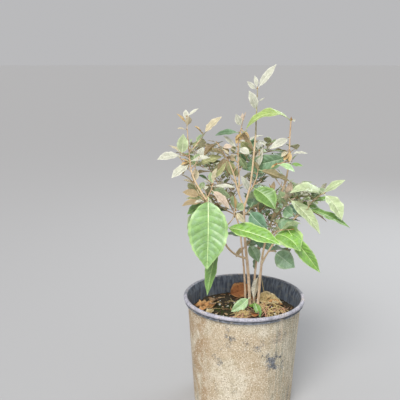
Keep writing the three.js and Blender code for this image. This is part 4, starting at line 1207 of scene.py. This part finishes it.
def bark_look(name):
    """Bark that is streaked along the limb."""
    base, dark, light, depth = BARKS[name]
    plan = BARK_COVER
    graph = Graph(name, plan.roughness)
    grain = graph.attribute("grain", "Vector")
    streaks = graph.noise(*plan.streaks, place=grain)
    paint = graph.mixed(graph.band(streaks, *plan.streak_band), dark, base)
    patches = graph.noise(*plan.patches, place=grain)
    paint = graph.mixed(graph.band(patches, *plan.patch_band), paint, light)
    spots = graph.band(graph.noise(*plan.spots, place=grain), *plan.spot_band)
    graph.paint(graph.mixed(spots, paint, shaded(dark, plan.spot_shade)))
    graph.bump(streaks, depth)
    return graph.material


def shell_look(name):
    """Black plastic under a coat of dried mud, which the vertex attribute mud lays on."""
    plan = WALL_COVER
    graph = Graph(name)
    grit = graph.noise(*plan.grit)
    ragged = graph.band(grit, *plan.ragged_band)
    cover = graph.band(graph.calc("ADD", graph.attribute("mud"), ragged), *plan.mud_band)
    mud = graph.spotted(plan.mud, SPOTS["mud"], SPOTS["loam"])
    mud = graph.mixed(graph.attribute("brown"), mud, plan.brown)
    damp = graph.calc("MULTIPLY", graph.attribute("damp"), plan.damp_share)
    mud = graph.mixed(damp, mud, plan.damp)
    specks = graph.band(graph.noise(*plan.specks), *plan.speck_band)
    mud = graph.mixed(specks, mud, plan.speck)
    mud = graph.spotted(mud, SPOTS["mud_crumbs"], SPOTS["mud_grains"])
    # A pale painted highlight along the top of the rim, weaker at the back, in patches of noise
    scuffs = graph.band(graph.noise(*plan.scuffs), *plan.scuff_band)
    scuffs = graph.calc("MULTIPLY", graph.attribute("worn"), scuffs)
    plastic = graph.spotted(plan.plastic, SPOTS["plastic"])
    graph.paint(graph.mixed(cover, graph.mixed(scuffs, plastic, plan.scuff), mud))
    roughness = graph.band(cover, 0, 1, *plan.roughness)
    graph.feed(graph.shader.inputs["Roughness"], roughness)
    relief = graph.calc("ADD", graph.calc("MULTIPLY", cover, plan.mud_relief), grit)
    graph.bump(relief, plan.depth)
    return graph.material


def inside_look(name):
    """Bare plastic with streaks down it, and dust."""
    plan = INSIDE_COVER
    graph = Graph(name)
    streaks = graph.noise(*plan.streaks)
    paint = graph.mixed(graph.band(streaks, *plan.streak_band), plan.dark, plan.light)
    graph.paint(graph.spotted(paint, SPOTS["dust"]))
    graph.bump(streaks, plan.depth)
    return graph.material


def grainy_look(name):
    """Something grainy in three shades."""
    base, dark, light, size, depth, *roughness = GRAINS[name]
    plan = GRAIN_COVER
    graph = Graph(name, *(roughness or [plan.roughness]))
    grain = graph.noise(size, *plan.grain)
    paint = graph.mixed(graph.band(grain, *plan.grain_band), dark, base)
    lights = graph.noise(size * plan.light_size, plan.light_detail)
    graph.paint(graph.mixed(graph.band(lights, *plan.light_band), paint, light))
    graph.bump(grain, depth)
    return graph.material


LOOKS = {**dict.fromkeys(BARKS, bark_look), **dict.fromkeys(GRAINS, grainy_look),
         "pot_shell": shell_look, "pot_inside": inside_look}
looks = {}


def look(name):
    """A material, made the first time that it is asked for."""
    if name not in looks:
        looks[name] = LOOKS.get(name, leaf_look)(name)
    return looks[name]


# Pot

# How far dried mud covers the wall, and where it has come off: side in degrees, height, how far
# the place reaches and how bare it is. Rain has washed it in streaks on one side, and another is
# browner: side, half of its width, how patchy and how far.
MUD = Values(
    cover=0.86, blotch=(0.35, 42), ragged=9,
    cloud=(0.3, 17), cloud_stretch=(1.2, 1.2, 0.7), cloud_shift=300,
    bare=(
        (254, 152, 8, 0.3), (237, 104, 12, 0.5), (297, 104, 16, 0.6), (301, 148, 16, 0.4),
        (279, 136, 10, 0.3), (60, 120, 20, 0.6), (110, 60, 16, 0.5), (170, 90, 14, 0.5),
        (20, 40, 18, 0.5), (270, 30, 14, 0.4),
    ),
    bare_from=(1.4, 0.4), washed=(318, 34, 1.5, 1), browned=(204, 34, 1.2, 0.8), side_full=0.4,
    streaks=(34, 7, 60), thick=0.45, relief=(0.6, 0.6), grain=2.4, on_floor=0.3,
)
# The lip and the rim: their mud, how far a pale painted highlight covers the top of their edge, less
# so at the back, and their grain
RIM = Values(
    mud=(0.08, 0.5, 0.4), worn_between=(3, 8), worn=(0.75, 0.5), back=0.3, grain=0.12,
)


def inner_radius(height):
    share = (height - POT.floor) / (SKIRT - POT.floor)
    return mix(POT.foot_radius - POT.wall, POT.shoulder_radius - POT.wall, share)


def arc(x, y, radius, start, end, count):
    turns = np.radians(np.linspace(start, end, count))
    return [(x + radius * math.cos(t), y + radius * math.sin(t)) for t in turns]


def pot_profile():
    """Radius and height from the edge of the underside, up the wall and over the rim, and then
    down inside."""
    edge, bead = POT.foot_edge, POT.bead_radius
    cove, ridge, neck = POT.cove, POT.ridge, POT.neck
    heights = np.linspace(edge, SKIRT - POT.cove_below, POT.wall_rings)
    outside = [
        *arc(POT.foot_radius - edge, edge, edge, *POT.foot_arc)[:-1],
        *[(mix(POT.foot_radius, POT.shoulder_radius, h / SKIRT), h) for h in heights],
        *arc(POT.shoulder_radius + cove[0], SKIRT + cove[1], *cove[2:]),
        *arc(POT.lip_radius + ridge[0], SKIRT + ridge[1], *ridge[2:]),
        (POT.lip_radius + neck[0], SKIRT + neck[1]),
        *arc(POT.rim_radius - bead, POT.height - bead, bead, *POT.bead_arc),
    ]
    down = np.linspace(SKIRT, POT.floor, POT.inside_rings)
    return outside, [(inner_radius(h), h) for h in down]


def clamped(value, most=1):
    return min(max(value, 0), most)


def bareness(along, height, radius, ragged):
    """How far the mud has come off at a place on the wall, with ragged edges."""
    total, half_way = 0, math.pi * radius
    start, full = MUD.bare_from
    for side, middle, reach, share in MUD.bare:
        apart = (along - radius * math.radians(side) + half_way) % (2 * half_way) - half_way
        away = math.hypot(apart, height - middle) + reach * ragged
        total += share * smoothstep(away, reach * start, reach * full)
    return total


def sided(angle, patches, middle, half, patchy, most):
    """How far a stretch of the wall is coloured, most in its middle and none beyond its ends."""
    away = abs((math.degrees(angle) - middle + 180) % 360 - 180)
    return smoothstep(away, half, half * MUD.side_full) * clamped(0.5 + patchy * patches, most)


def rim_coats(height, behind, cloud):
    """Mud on the lip and the rim, and the painted highlight along their top."""
    low, slope, most = RIM.mud
    start, full = RIM.worn_between
    worn = smoothstep(height, SKIRT + start, SKIRT + full) * (RIM.back if behind else 1)
    worn *= RIM.worn[0] + RIM.worn[1] * cloud
    return {"mud": clamped(low + slope * cloud, most), "worn": worn}


def weathered(radius, height, angle):
    """The coats at a place on the pot's outside, and how far its skin stands out there."""
    place = np.array([radius * math.cos(angle), radius * math.sin(angle), height])
    cloud = rough(place * MUD.cloud_stretch + [MUD.cloud_shift, 0, 0], MUD.cloud[1])
    grain = rough(place, MUD.grain, 2)
    if height >= SKIRT - 1:
        return rim_coats(height, place[1] > 0, cloud), RIM.grain * grain
    cover = MUD.cover + MUD.blotch[0] * rough(place, MUD.blotch[1]) + MUD.cloud[0] * cloud
    cover -= bareness(radius * angle, height, radius, rough(place, MUD.ragged, 4)) * (1 + cloud)
    mud = clamped(cover)
    times, shift, long = MUD.streaks
    streak = rough((angle * times, shift, height / long), 1)
    damp, brown = sided(angle, streak, *MUD.washed), sided(angle, cloud, *MUD.browned)
    even, grainy = MUD.relief
    return {"mud": mud, "damp": damp, "brown": brown}, MUD.thick * mud * (even + grainy * grain)


def floor_triangles(ring, edges):
    """Triangles of the floor, between the wall's ring and the edges of the drain holes."""
    sides, around = len(ring), POT.hole_sides
    flat = [Vector(p) for p in np.vstack([ring, edges])]
    loops = [list(range(sides))]
    loops += np.arange(sides, len(flat)).reshape(-1, around).tolist()
    _, _, faces, origins, _, _ = delaunay_2d_cdt(flat, [], loops, 1, 1e-5)
    triangles = np.array([[origins[i][0] for i in face] for face in faces])
    hole = np.maximum((triangles - sides) // around, -1)
    return triangles[(hole.min(axis=1) < hole.max(axis=1)) | (hole.min(axis=1) < 0)]


def drain_edges():
    """The edges of the drain holes, one after the other."""
    around = circle(POT.hole_sides)[1]
    return np.vstack([POT.drain_circle * centre + POT.drain_radius * around
                      for centre in circle(POT.drain_holes)[1]])


def floor_faces(rings, wall, edges):
    """Faces of the floor, below and above, and of its holes. wall is how many points come first."""
    i = np.arange(len(edges))
    below, above = wall + i, wall + len(edges) + i
    low = np.arange(POT.sides)
    high = wall - POT.sides + low
    under = np.concatenate([low, below])[floor_triangles(rings[0], edges)]
    upper = np.concatenate([high, above])[floor_triangles(rings[-1], edges)]
    j = i - i % POT.hole_sides + (i + 1) % POT.hole_sides
    holes = np.stack([below[j], below[i], above[i], above[j]], axis=1)
    return np.vstack([fan(*under[:, ::-1].T), fan(*upper.T), holes])


def coated_wall(profile, outer):
    """The wall's points ring by ring, and the coats on them. outer is how many rings are outside."""
    turn, around = circle(POT.sides)
    points = np.zeros((len(profile), len(turn), 3))
    coats = {name: np.zeros(points.shape[:2]) for name in ("mud", "damp", "worn", "brown")}
    for i, (radius, height) in enumerate(profile):
        for k, angle in enumerate(turn):
            coat, swell = weathered(radius, height, angle) if i < outer else ({}, 0)
            for name, value in coat.items():
                coats[name][i, k] = value
            points[i, k] = (*((radius + swell) * around[k]), height)
    return points, coats


def make_pot():
    """The shell as one closed skin: wall, rolled rim, inner wall, and floor with holes."""
    outside, inside = pot_profile()
    points, coats = coated_wall(outside + inside, len(outside))
    edges = drain_edges()
    levels = [np.insert(edges, 2, height, axis=1) for height in (0, POT.floor)]
    skin = ring_faces(*points.shape[:2], closed=False)
    faces = np.vstack([skin, floor_faces(points[..., :2], points[..., 0].size, edges)])
    first_inside = (len(outside) - POT.rim_rings) * POT.sides
    zones = (np.arange(len(faces)) >= first_inside).astype(int)
    points = np.vstack([points.reshape(-1, 3), *levels])
    pile = Pile()
    pile.add(points, faces, "pot_shell", "pot_inside", zones=zones)
    for name, coat in coats.items():
        rest = MUD.on_floor if name == "mud" else 0
        coats[name] = np.append(coat, np.full(2 * len(edges), rest))
    make_piece("pot_shell", pile, "pot", "pot", sharp=POT.sharp, attributes=coats)


# Soil

# Mats of straw, bark and old leaves round the foot of the stems: x, y, how far each reaches, height
MATS = ((-2, -27, 16, 4), (47, -7, 27, 6))
# The soil's crumbs and its finer grain: height, size and octaves of the noise. Under a mat the
# soil is raised by a share of its height, and the mat is full within a share of its reach.
CRUMBLE = Values(
    coarse=(1.7, 5.5, 4), fine=(1.0, 2.2, 2), fine_shift=40,
    under_mat=0.8, mat_full=0.3, mat_within=0.85, settled=0.6,
)
# Crumbs on the soil, and bits of bark and root on the mats: whether matted, how many, half widths,
# how far these vary, and looks
CRUMBS = (
    (False, 620, (1.5, 1.3, 0.9), 0.8, ("crumb", "crumb", "soil")),
    (False, 150, (3.6, 1.5, 0.8), 0.7, ("chip", "chip", "pale_chip")),
    (False, 110, (1.2, 1.1, 0.9), 0.9, ("grit", "pale_chip")),
    (True, 70, (5.6, 2.4, 0.8), 0.9, ("chip", "pale_chip", "pale_chip", "rust_chip", "straw")),
)
LUMP = Values(uneven=0.3, size=1.3, tilt=0.9, raised=0.3, into_mat=0.25, margin=4)
PEBBLE = Values(raised=0.4, shape=(1, 0.8, 0.6))
# White pebbles: x, y and half width. Moss: x, y and how far it reaches.
PEBBLES = ((-39, 28, 2.9), (50, -22, 2.6), (-26, 11, 2.6), (-14, 22, 1.8), (-60, -14, 2.2))
MOSS = ((-42, -6, 22), (-48, 18, 14), (-20, 12, 12), (52, 46, 12))
MOSS_BLADE = Values(
    radii=(0.55, 0.6, 0.12), tall=(1.6, 1.2), lean=1.2, density=9, sunk=0.3, within=0.9, sides=5,
)
SPROUTS = Values(
    place=(17, 5), reach=5, count=26, radii=(0.5, 0.9, 0.15), blade=((62, 3), (35, 6)),
)
STRAWS = {
    "all_over": Values(count=26, length=(22, 20), bend=(0, 90), radius=(0.55, 0.5)),
    "matted": Values(count=60, length=(27, 22), bend=(0, 190), radius=(0.95, 0.7)),
}
STRAW = Values(
    points=9, sides=6, taper=(1.05, 1.2), lift=(2.3, 2.2), rest=1.0,
    on_mat=0.3, reach=72, edge=84, looks=("straw", "straw", "straw", "root"),
)
# A dry stalk that leans on a stem
LEANING = ((29, 2, 214), (33.5, 0, 192), (40, -2, 172))
LEANING_RADIUS = 0.5

# Dead leaves: x, y, then heading, rise, length, width, arch, roll and tint
FALLEN = {
    "fallen_leaf_tan": (-81, 14, 12, 0, 36, 26, -55, 10, "tan"),
    "fallen_leaf_rust": (-24, 50, 14, 20, 42, 30, -40, 48, "rust"),
    "fallen_leaf_pale": (11, 4, 204, -28, 41, 19, 20, -56, "fresh"),
    "fallen_leaf_green": (17, 3, 283, -22, 38, 13, 24, 0, "green"),
    "fallen_leaf_buff": (20, 33, 350, -2, 44, 24, 30, 43, "straw"),
    "fallen_leaf_brown": (-28, -37, 4, 6, 36, 22, -45, 0, "blush"),
}
# More of them, small or broken, that the solids leave out
LITTER = (
    (-84, 26, 330, 16, 22, 15, -40, 30, "tan"), (-62, 28, 332, 14, 20, 15, -60, -20, "blush"),
    (-66, 32, 350, 16, 18, 12, -50, 0, "tan"), (-70, -4, 350, 8, 20, 12, -50, 0, "straw"),
    (-66, -12, 34, 10, 20, 14, -40, 10, "straw"), (-80, -2, 20, 12, 20, 12, -60, 12, "tan"),
    (-12, -22, 330, 12, 26, 15, -70, 14, "dun"), (-10, -18, 12, 4, 32, 22, -60, -12, "dun"),
    (-2, -30, 350, 8, 26, 16, -80, 0, "rust"), (10, -14, 300, 10, 24, 14, -70, -20, "dun"),
    (12, -38, 170, 6, 22, 12, -50, 0, "blush"), (34, -22, 20, 10, 22, 12, -80, 0, "blush"),
    (56, 0, 75, 14, 22, 12, -60, 20, "straw"), (36, 10, 350, 12, 26, 14, -60, 0, "straw"),
    (20, 18, 100, 40, 14, 9, -60, 0, "rust"), (30, 22, 20, 20, 24, 12, -60, -10, "tan"),
    (26, 8, 352, 8, 38, 22, -40, -25, "straw"), (34, 16, 340, 4, 34, 18, -30, 20, "tan"),
    (12, 62, 200, 12, 26, 14, -60, -20, "rust"), (-44, 56, 240, 8, 24, 14, -60, 0, "dun"),
    (34, 66, 320, 8, 22, 12, -60, 0, "tan"),
)
# Leaves caught between the stems or hanging on them, with the height of their base after x and y
CAUGHT = (
    (25, 5.5, 220, 190, -79, 44, 13, 24, 80, "silver"),
    (23, 33, 247, 250, -76, 30, 11, 20, 60, "mist"),
)
# How far the leaves on the soil and those that were caught have curled, and how high litter lies
CURLED = {"fallen": 0.12, "litter": 0.3, "caught": 0.2}
LITTER_HEIGHT = 2.5


def soil_height(x, y):
    away = math.hypot(x - CLUMP[0], y - CLUMP[1])
    heap = 1 - smoothstep(away, SOIL.flat_radius, SOIL.heap_radius)
    lump = math.sin(x / SOIL.lump_width) * math.cos(y / SOIL.lump_width + 1)
    return SOIL.edge_height + SOIL.heap * heap + SOIL.lump * lump * (1 - heap)


def mat_height(x, y):
    full = CRUMBLE.mat_full
    return max(high * float(smoothstep(math.hypot(x - mx, y - my), reach, reach * full))
               for mx, my, reach, high in MATS)


def crumbled(x, y):
    """The soil's height with its crumbs and hollows, and what lies heaped on it."""
    (high, *coarse), (grain, *fine) = CRUMBLE.coarse, CRUMBLE.fine
    fine_place = (x, y, CRUMBLE.fine_shift)
    relief = rough((x, y, 0), *coarse) * high + abs(rough(fine_place, *fine)) * grain
    raised = CRUMBLE.under_mat * mat_height(x, y)
    return float(soil_height(x, y)) + raised + relief - CRUMBLE.settled


def on_soil(x, y):
    return np.array([x, y, crumbled(x, y)])


def make_soil():
    _, out = circle(SOIL.sides)
    edge = inner_radius(SOIL.edge_height) - CLEARANCE
    bottom = POT.floor + CLEARANCE
    foot = inner_radius(bottom) - CLEARANCE
    points = []
    for share in (0, 0.5, 1):
        height = mix(bottom, SOIL.edge_height - 2, share)
        points.append(np.insert(out * mix(foot, edge, share), 2, height if share else bottom, axis=1))
    for i in range(SOIL.rings):
        points.append(np.array([on_soil(x, y) for x, y in out * edge * (1 - i / SOIL.rings)]))
    faces = ring_faces(len(points), SOIL.sides)
    pile = Pile()
    pile.add(np.vstack([*points, [0, 0, bottom], on_soil(0, 0)]), faces, "soil")
    make_piece("soil_surface", pile, "soil", "soil")


def ball():
    """A ball of 80 faces, to be squashed into crumbs and chips."""
    g = (1 + math.sqrt(5)) / 2
    points = [np.array(p, float) for p in (
        (-1, g, 0), (1, g, 0), (-1, -g, 0), (1, -g, 0), (0, -1, g), (0, 1, g),
        (0, -1, -g), (0, 1, -g), (g, 0, -1), (g, 0, 1), (-g, 0, -1), (-g, 0, 1))]
    faces = [(0, 11, 5), (0, 5, 1), (0, 1, 7), (0, 7, 10), (0, 10, 11), (1, 5, 9), (5, 11, 4),
             (11, 10, 2), (10, 7, 6), (7, 1, 8), (3, 9, 4), (3, 4, 2), (3, 2, 6), (3, 6, 8),
             (3, 8, 9), (4, 9, 5), (2, 4, 11), (6, 2, 10), (8, 6, 7), (9, 8, 1)]
    split = {}

    def between(a, b):
        key = (min(a, b), max(a, b))
        if key not in split:
            points.append((points[a] + points[b]) / 2)
            split[key] = len(points) - 1
        return split[key]

    finer = []
    for a, b, c in faces:
        d, e, f = between(a, b), between(b, c), between(c, a)
        finer += [(a, d, f, -1), (d, b, e, -1), (f, e, c, -1), (d, e, f, -1)]
    return unit(np.array(points)), np.array(finer)


BALL = ball()


def lump(place, size, random):
    """An irregular lump at a place. size is its three half widths."""
    points, faces = BALL
    shift = Vector((random() * 90, 0, 0))
    swell = [1 + LUMP.uneven * noise.noise(Vector(p * LUMP.size) + shift) for p in points]
    points = points * np.array(swell)[:, None] * np.array(size)
    turn, tilt = random() * 2 * math.pi, (random() - 0.5) * LUMP.tilt
    c, s = math.cos(tilt), math.sin(tilt)
    points = points @ np.array([[1, 0, 0], [0, c, s], [0, -s, c]])
    c, s = math.cos(turn), math.sin(turn)
    points = points @ np.array([[c, s, 0], [-s, c, 0], [0, 0, 1]])
    return points + np.array(place), faces


def picked(choices, random):
    return choices[int(random() * len(choices))]


def scattered(x, y, reach, random):
    """A place within reach of another, even over the area."""
    turn, away = random() * 2 * math.pi, reach * math.sqrt(random())
    return x + away * math.cos(turn), y + away * math.sin(turn)


def on_mat(random):
    x, y, reach, _ = picked(MATS, random)
    return scattered(x, y, reach * CRUMBLE.mat_within, random)


def make_crumbs():
    random = seeded(SEEDS.crumbs)
    reach = inner_radius(SOIL.edge_height) - LUMP.margin
    pile = Pile()
    for matted, count, size, spreading, kinds in CRUMBS:
        for _ in range(count):
            x, y = on_mat(random) if matted else scattered(0, 0, reach, random)
            scale = draw((1, spreading), random)
            height = crumbled(x, y) + size[2] * scale * LUMP.raised
            if matted:
                height += LUMP.into_mat * mat_height(x, y) * random()
            piece = lump((x, y, height), np.array(size) * scale, random)
            pile.add(*piece, picked(kinds, random))
    for x, y, size in PEBBLES:
        place = (x, y, crumbled(x, y) + size * PEBBLE.raised)
        pile.add(*lump(place, size * np.array(PEBBLE.shape), random), "grit")
    make_piece("soil_crumbs", pile, "soil")


def strand(pile, path, radius, kind):
    """A thin dry strand that narrows to both ends."""
    steps = np.linspace(-0.5, 0.5, len(path))
    thick, taper = STRAW.taper
    pile.add(*tube(path, radius * (thick - np.abs(steps) * taper), STRAW.sides), kind)


def make_straws():
    """Dry strands that lie over the soil, most of them matted round the stems."""
    random = seeded(SEEDS.straws)
    pile = Pile()
    steps = np.linspace(-0.5, 0.5, STRAW.points)
    for kind, plan in [(kind, plan) for kind, plan in STRAWS.items() for _ in range(plan.count)]:
        middle = on_mat(random) if kind == "matted" else scattered(0, 0, STRAW.reach, random)
        way = direction(random() * 360, 0)[:2]
        length, bend = draw(plan.length, random), draw(plan.bend, random)
        bow = (steps**2)[:, None] * math.radians(bend) * length * np.array([-way[1], way[0]])
        flat = np.array(middle) + steps[:, None] * length * way + bow
        if np.linalg.norm(flat, axis=1).max() > STRAW.edge:
            continue
        lift = draw(STRAW.lift, random)
        rest = STRAW.rest + STRAW.on_mat * random() * mat_height(*middle)
        path = np.array([on_soil(*place) for place in flat])
        path[:, 2] += rest + lift * (1 - 4 * steps**2)
        radius = draw(plan.radius, random)
        strand(pile, path, radius, picked(STRAW.looks, random))
    strand(pile, smooth([np.array(p, float) for p in LEANING]), LEANING_RADIUS, "straw")
    make_piece("dry_strands", pile, "dead_leaves")


def make_moss():
    """Cushions of moss, and a tuft of sprouts."""
    random = seeded(SEEDS.moss)
    pile = Pile()
    for x, y, wide in MOSS:
        for _ in range(int(wide * MOSS_BLADE.density)):
            foot = on_soil(*scattered(x, y, wide * MOSS_BLADE.within, random))
            foot = foot - [0, 0, MOSS_BLADE.sunk]
            tall = draw(MOSS_BLADE.tall, random) + MOSS_BLADE.sunk
            lean = [(random() - 0.5) * MOSS_BLADE.lean for _ in range(2)]
            path = foot + np.outer([0, 0.5, 1], [*lean, tall])
            blade = tube(path, np.array(MOSS_BLADE.radii), MOSS_BLADE.sides)
            pile.add(*blade, "moss")
    for i in range(SPROUTS.count):
        heading = i * RULE.turn
        out = direction(heading, 0)[:2] * SPROUTS.reach * math.sqrt(i / SPROUTS.count)
        foot = on_soil(*(SPROUTS.place + out))
        path = [foot, *(foot + direction(heading, rise) * long for rise, long in SPROUTS.blade)]
        blade = tube(np.array(path), np.array(SPROUTS.radii), MOSS_BLADE.sides)
        pile.add(*blade, "sprout")
    make_piece("moss", pile, "soil")


def make_fallen():
    random = seeded(SEEDS.fallen)
    for name, (x, y, *row) in FALLEN.items():
        leaf = Leaf((x, y, GROUND), *row)
        pile = Pile()
        add_leaf(pile, leaf, random, CURLED["fallen"] if leaf.tint in DEAD else 0)
        low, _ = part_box(name)
        sunk = min(p[:, 2].min() for p in pile.points)
        pile.points = [p + np.array([0, 0, low.z / MM - sunk]) for p in pile.points]
        make_piece(name + "_blade", pile, "dead_leaves", name)
    litter = [(x, y, crumbled(x, y) + LITTER_HEIGHT, *row) for x, y, *row in LITTER]
    for kind, rows, slot in (("litter", litter, "dead_leaves"), ("caught", CAUGHT, "leaves")):
        pile = Pile()
        for *place, heading, rise, length, width, arch, roll, tint in rows:
            leaf = Leaf(place, heading, rise, length, width, arch, roll, tint)
            add_leaf(pile, leaf, random, CURLED[kind])
        make_piece(kind + "_leaves", pile, slot)


# Plant

def bark_piece(name, shoots, plan, kind, node, ends=()):
    pile = Pile()
    grains = []
    for number, shoot in enumerate(shoots):
        *skin, grain = bark(shoot, plan, number * plan.seed_step + len(name))
        pile.add(*skin, kind)
        grains.append(grain)
    for points, faces in ends:
        pile.add(points, faces, "bud")
        grains.append(points * MM)
    make_piece(name, pile, "bark", node, attributes={"grain": np.vstack(grains)})


def make_mass(mass):
    """A mass's leaves, and its twigs with a bud at each tip and in each leaf's axil."""
    random = seeded(mass.growth.seed + SEEDS.leaves)
    pile = Pile()
    buds = []
    for shoot in mass.shoots:
        way = unit(shoot.curve[-1] - shoot.curve[-3])
        thick = shoot.thick[1]
        size = (thick * TIP_BUD.length, thick * TIP_BUD.width)
        buds.append(bud(shoot.curve[-1] - way * TIP_BUD.sunk, way, *size))
        for leaf in shoot.leaves:
            add_leaf(pile, leaf, random)
            out = unit(leaf.chord + np.array([0, 0, AXIL_BUD.rise]))
            place = leaf.base + out * thick * AXIL_BUD.out
            buds.append(bud(place, out, AXIL_BUD.length + thick, AXIL_BUD.width))
    make_piece(mass.name + "_leaves", pile, "leaves", mass.name, sharp=LEAF.sharp)
    kind = "leader" if mass.name == "foliage_top" else "twig"
    bark_piece(mass.name + "_twigs", mass.shoots, TWIG_BARK, kind, mass.name, buds)


# Stage, light and camera

def make_stage():
    turn, around = circle(FLOOR.sides)
    mesh = bpy.data.meshes.new("floor")
    corners = [(*place, 0) for place in around * FLOOR.radius]
    mesh.from_pydata(corners, [], [range(len(turn))])
    graph = Graph("floor", FLOOR.roughness)
    graph.paint(FLOOR.colour)
    mesh.materials.append(graph.material)
    placed("floor", mesh)


def make_lights():
    sun = bpy.data.lights.new("sun", "SUN")
    sun.energy, sun.color, sun.angle = SUN.strength, SUN.colour, math.radians(SUN.angle)
    way = Vector(SUN.way).to_track_quat("Z", "Y")
    placed("sun", sun).rotation_euler = way.to_euler()
    for name, plan in LIGHTS.items():
        light = bpy.data.lights.new(name, "AREA")
        light.shape, light.size = "DISK", plan.size
        light.energy, light.color = plan.power, plan.colour
        way = (Vector(AIM) - Vector(plan.place)).to_track_quat("-Z", "Y")
        placed(name, light, plan.place).rotation_euler = way.to_euler()
    world = bpy.data.worlds.new("studio")
    world.use_nodes = True
    sky = world.node_tree.nodes["Background"]
    sky.inputs["Color"].default_value = (*WORLD.colour, 1)
    sky.inputs["Strength"].default_value = WORLD.strength
    bpy.context.scene.world = world


def make_camera():
    camera = bpy.data.cameras.new("camera")
    camera.lens, camera.sensor_width = CAMERA.lens, CAMERA.sensor
    camera.clip_start = CAMERA.nearest
    camera.dof.use_dof = False
    eye = placed("camera", camera, CAMERA.place)
    eye.rotation_euler = (math.radians(90 - CAMERA.pitch_down), 0, 0)
    bpy.context.scene.camera = eye


make_camera()
make_lights()
make_stage()
bpy.context.scene.view_settings.view_transform = "Standard"

make_pot()
make_soil()
make_crumbs()
make_moss()
make_straws()
make_fallen()

crown = grow_crown()
for name, limb in crown.limbs.items():
    bark_piece(name + "_bark", [limb], BARK, "stem" if limb.rooted else "bough", name)
for mass in crown.masses:
    make_mass(mass)
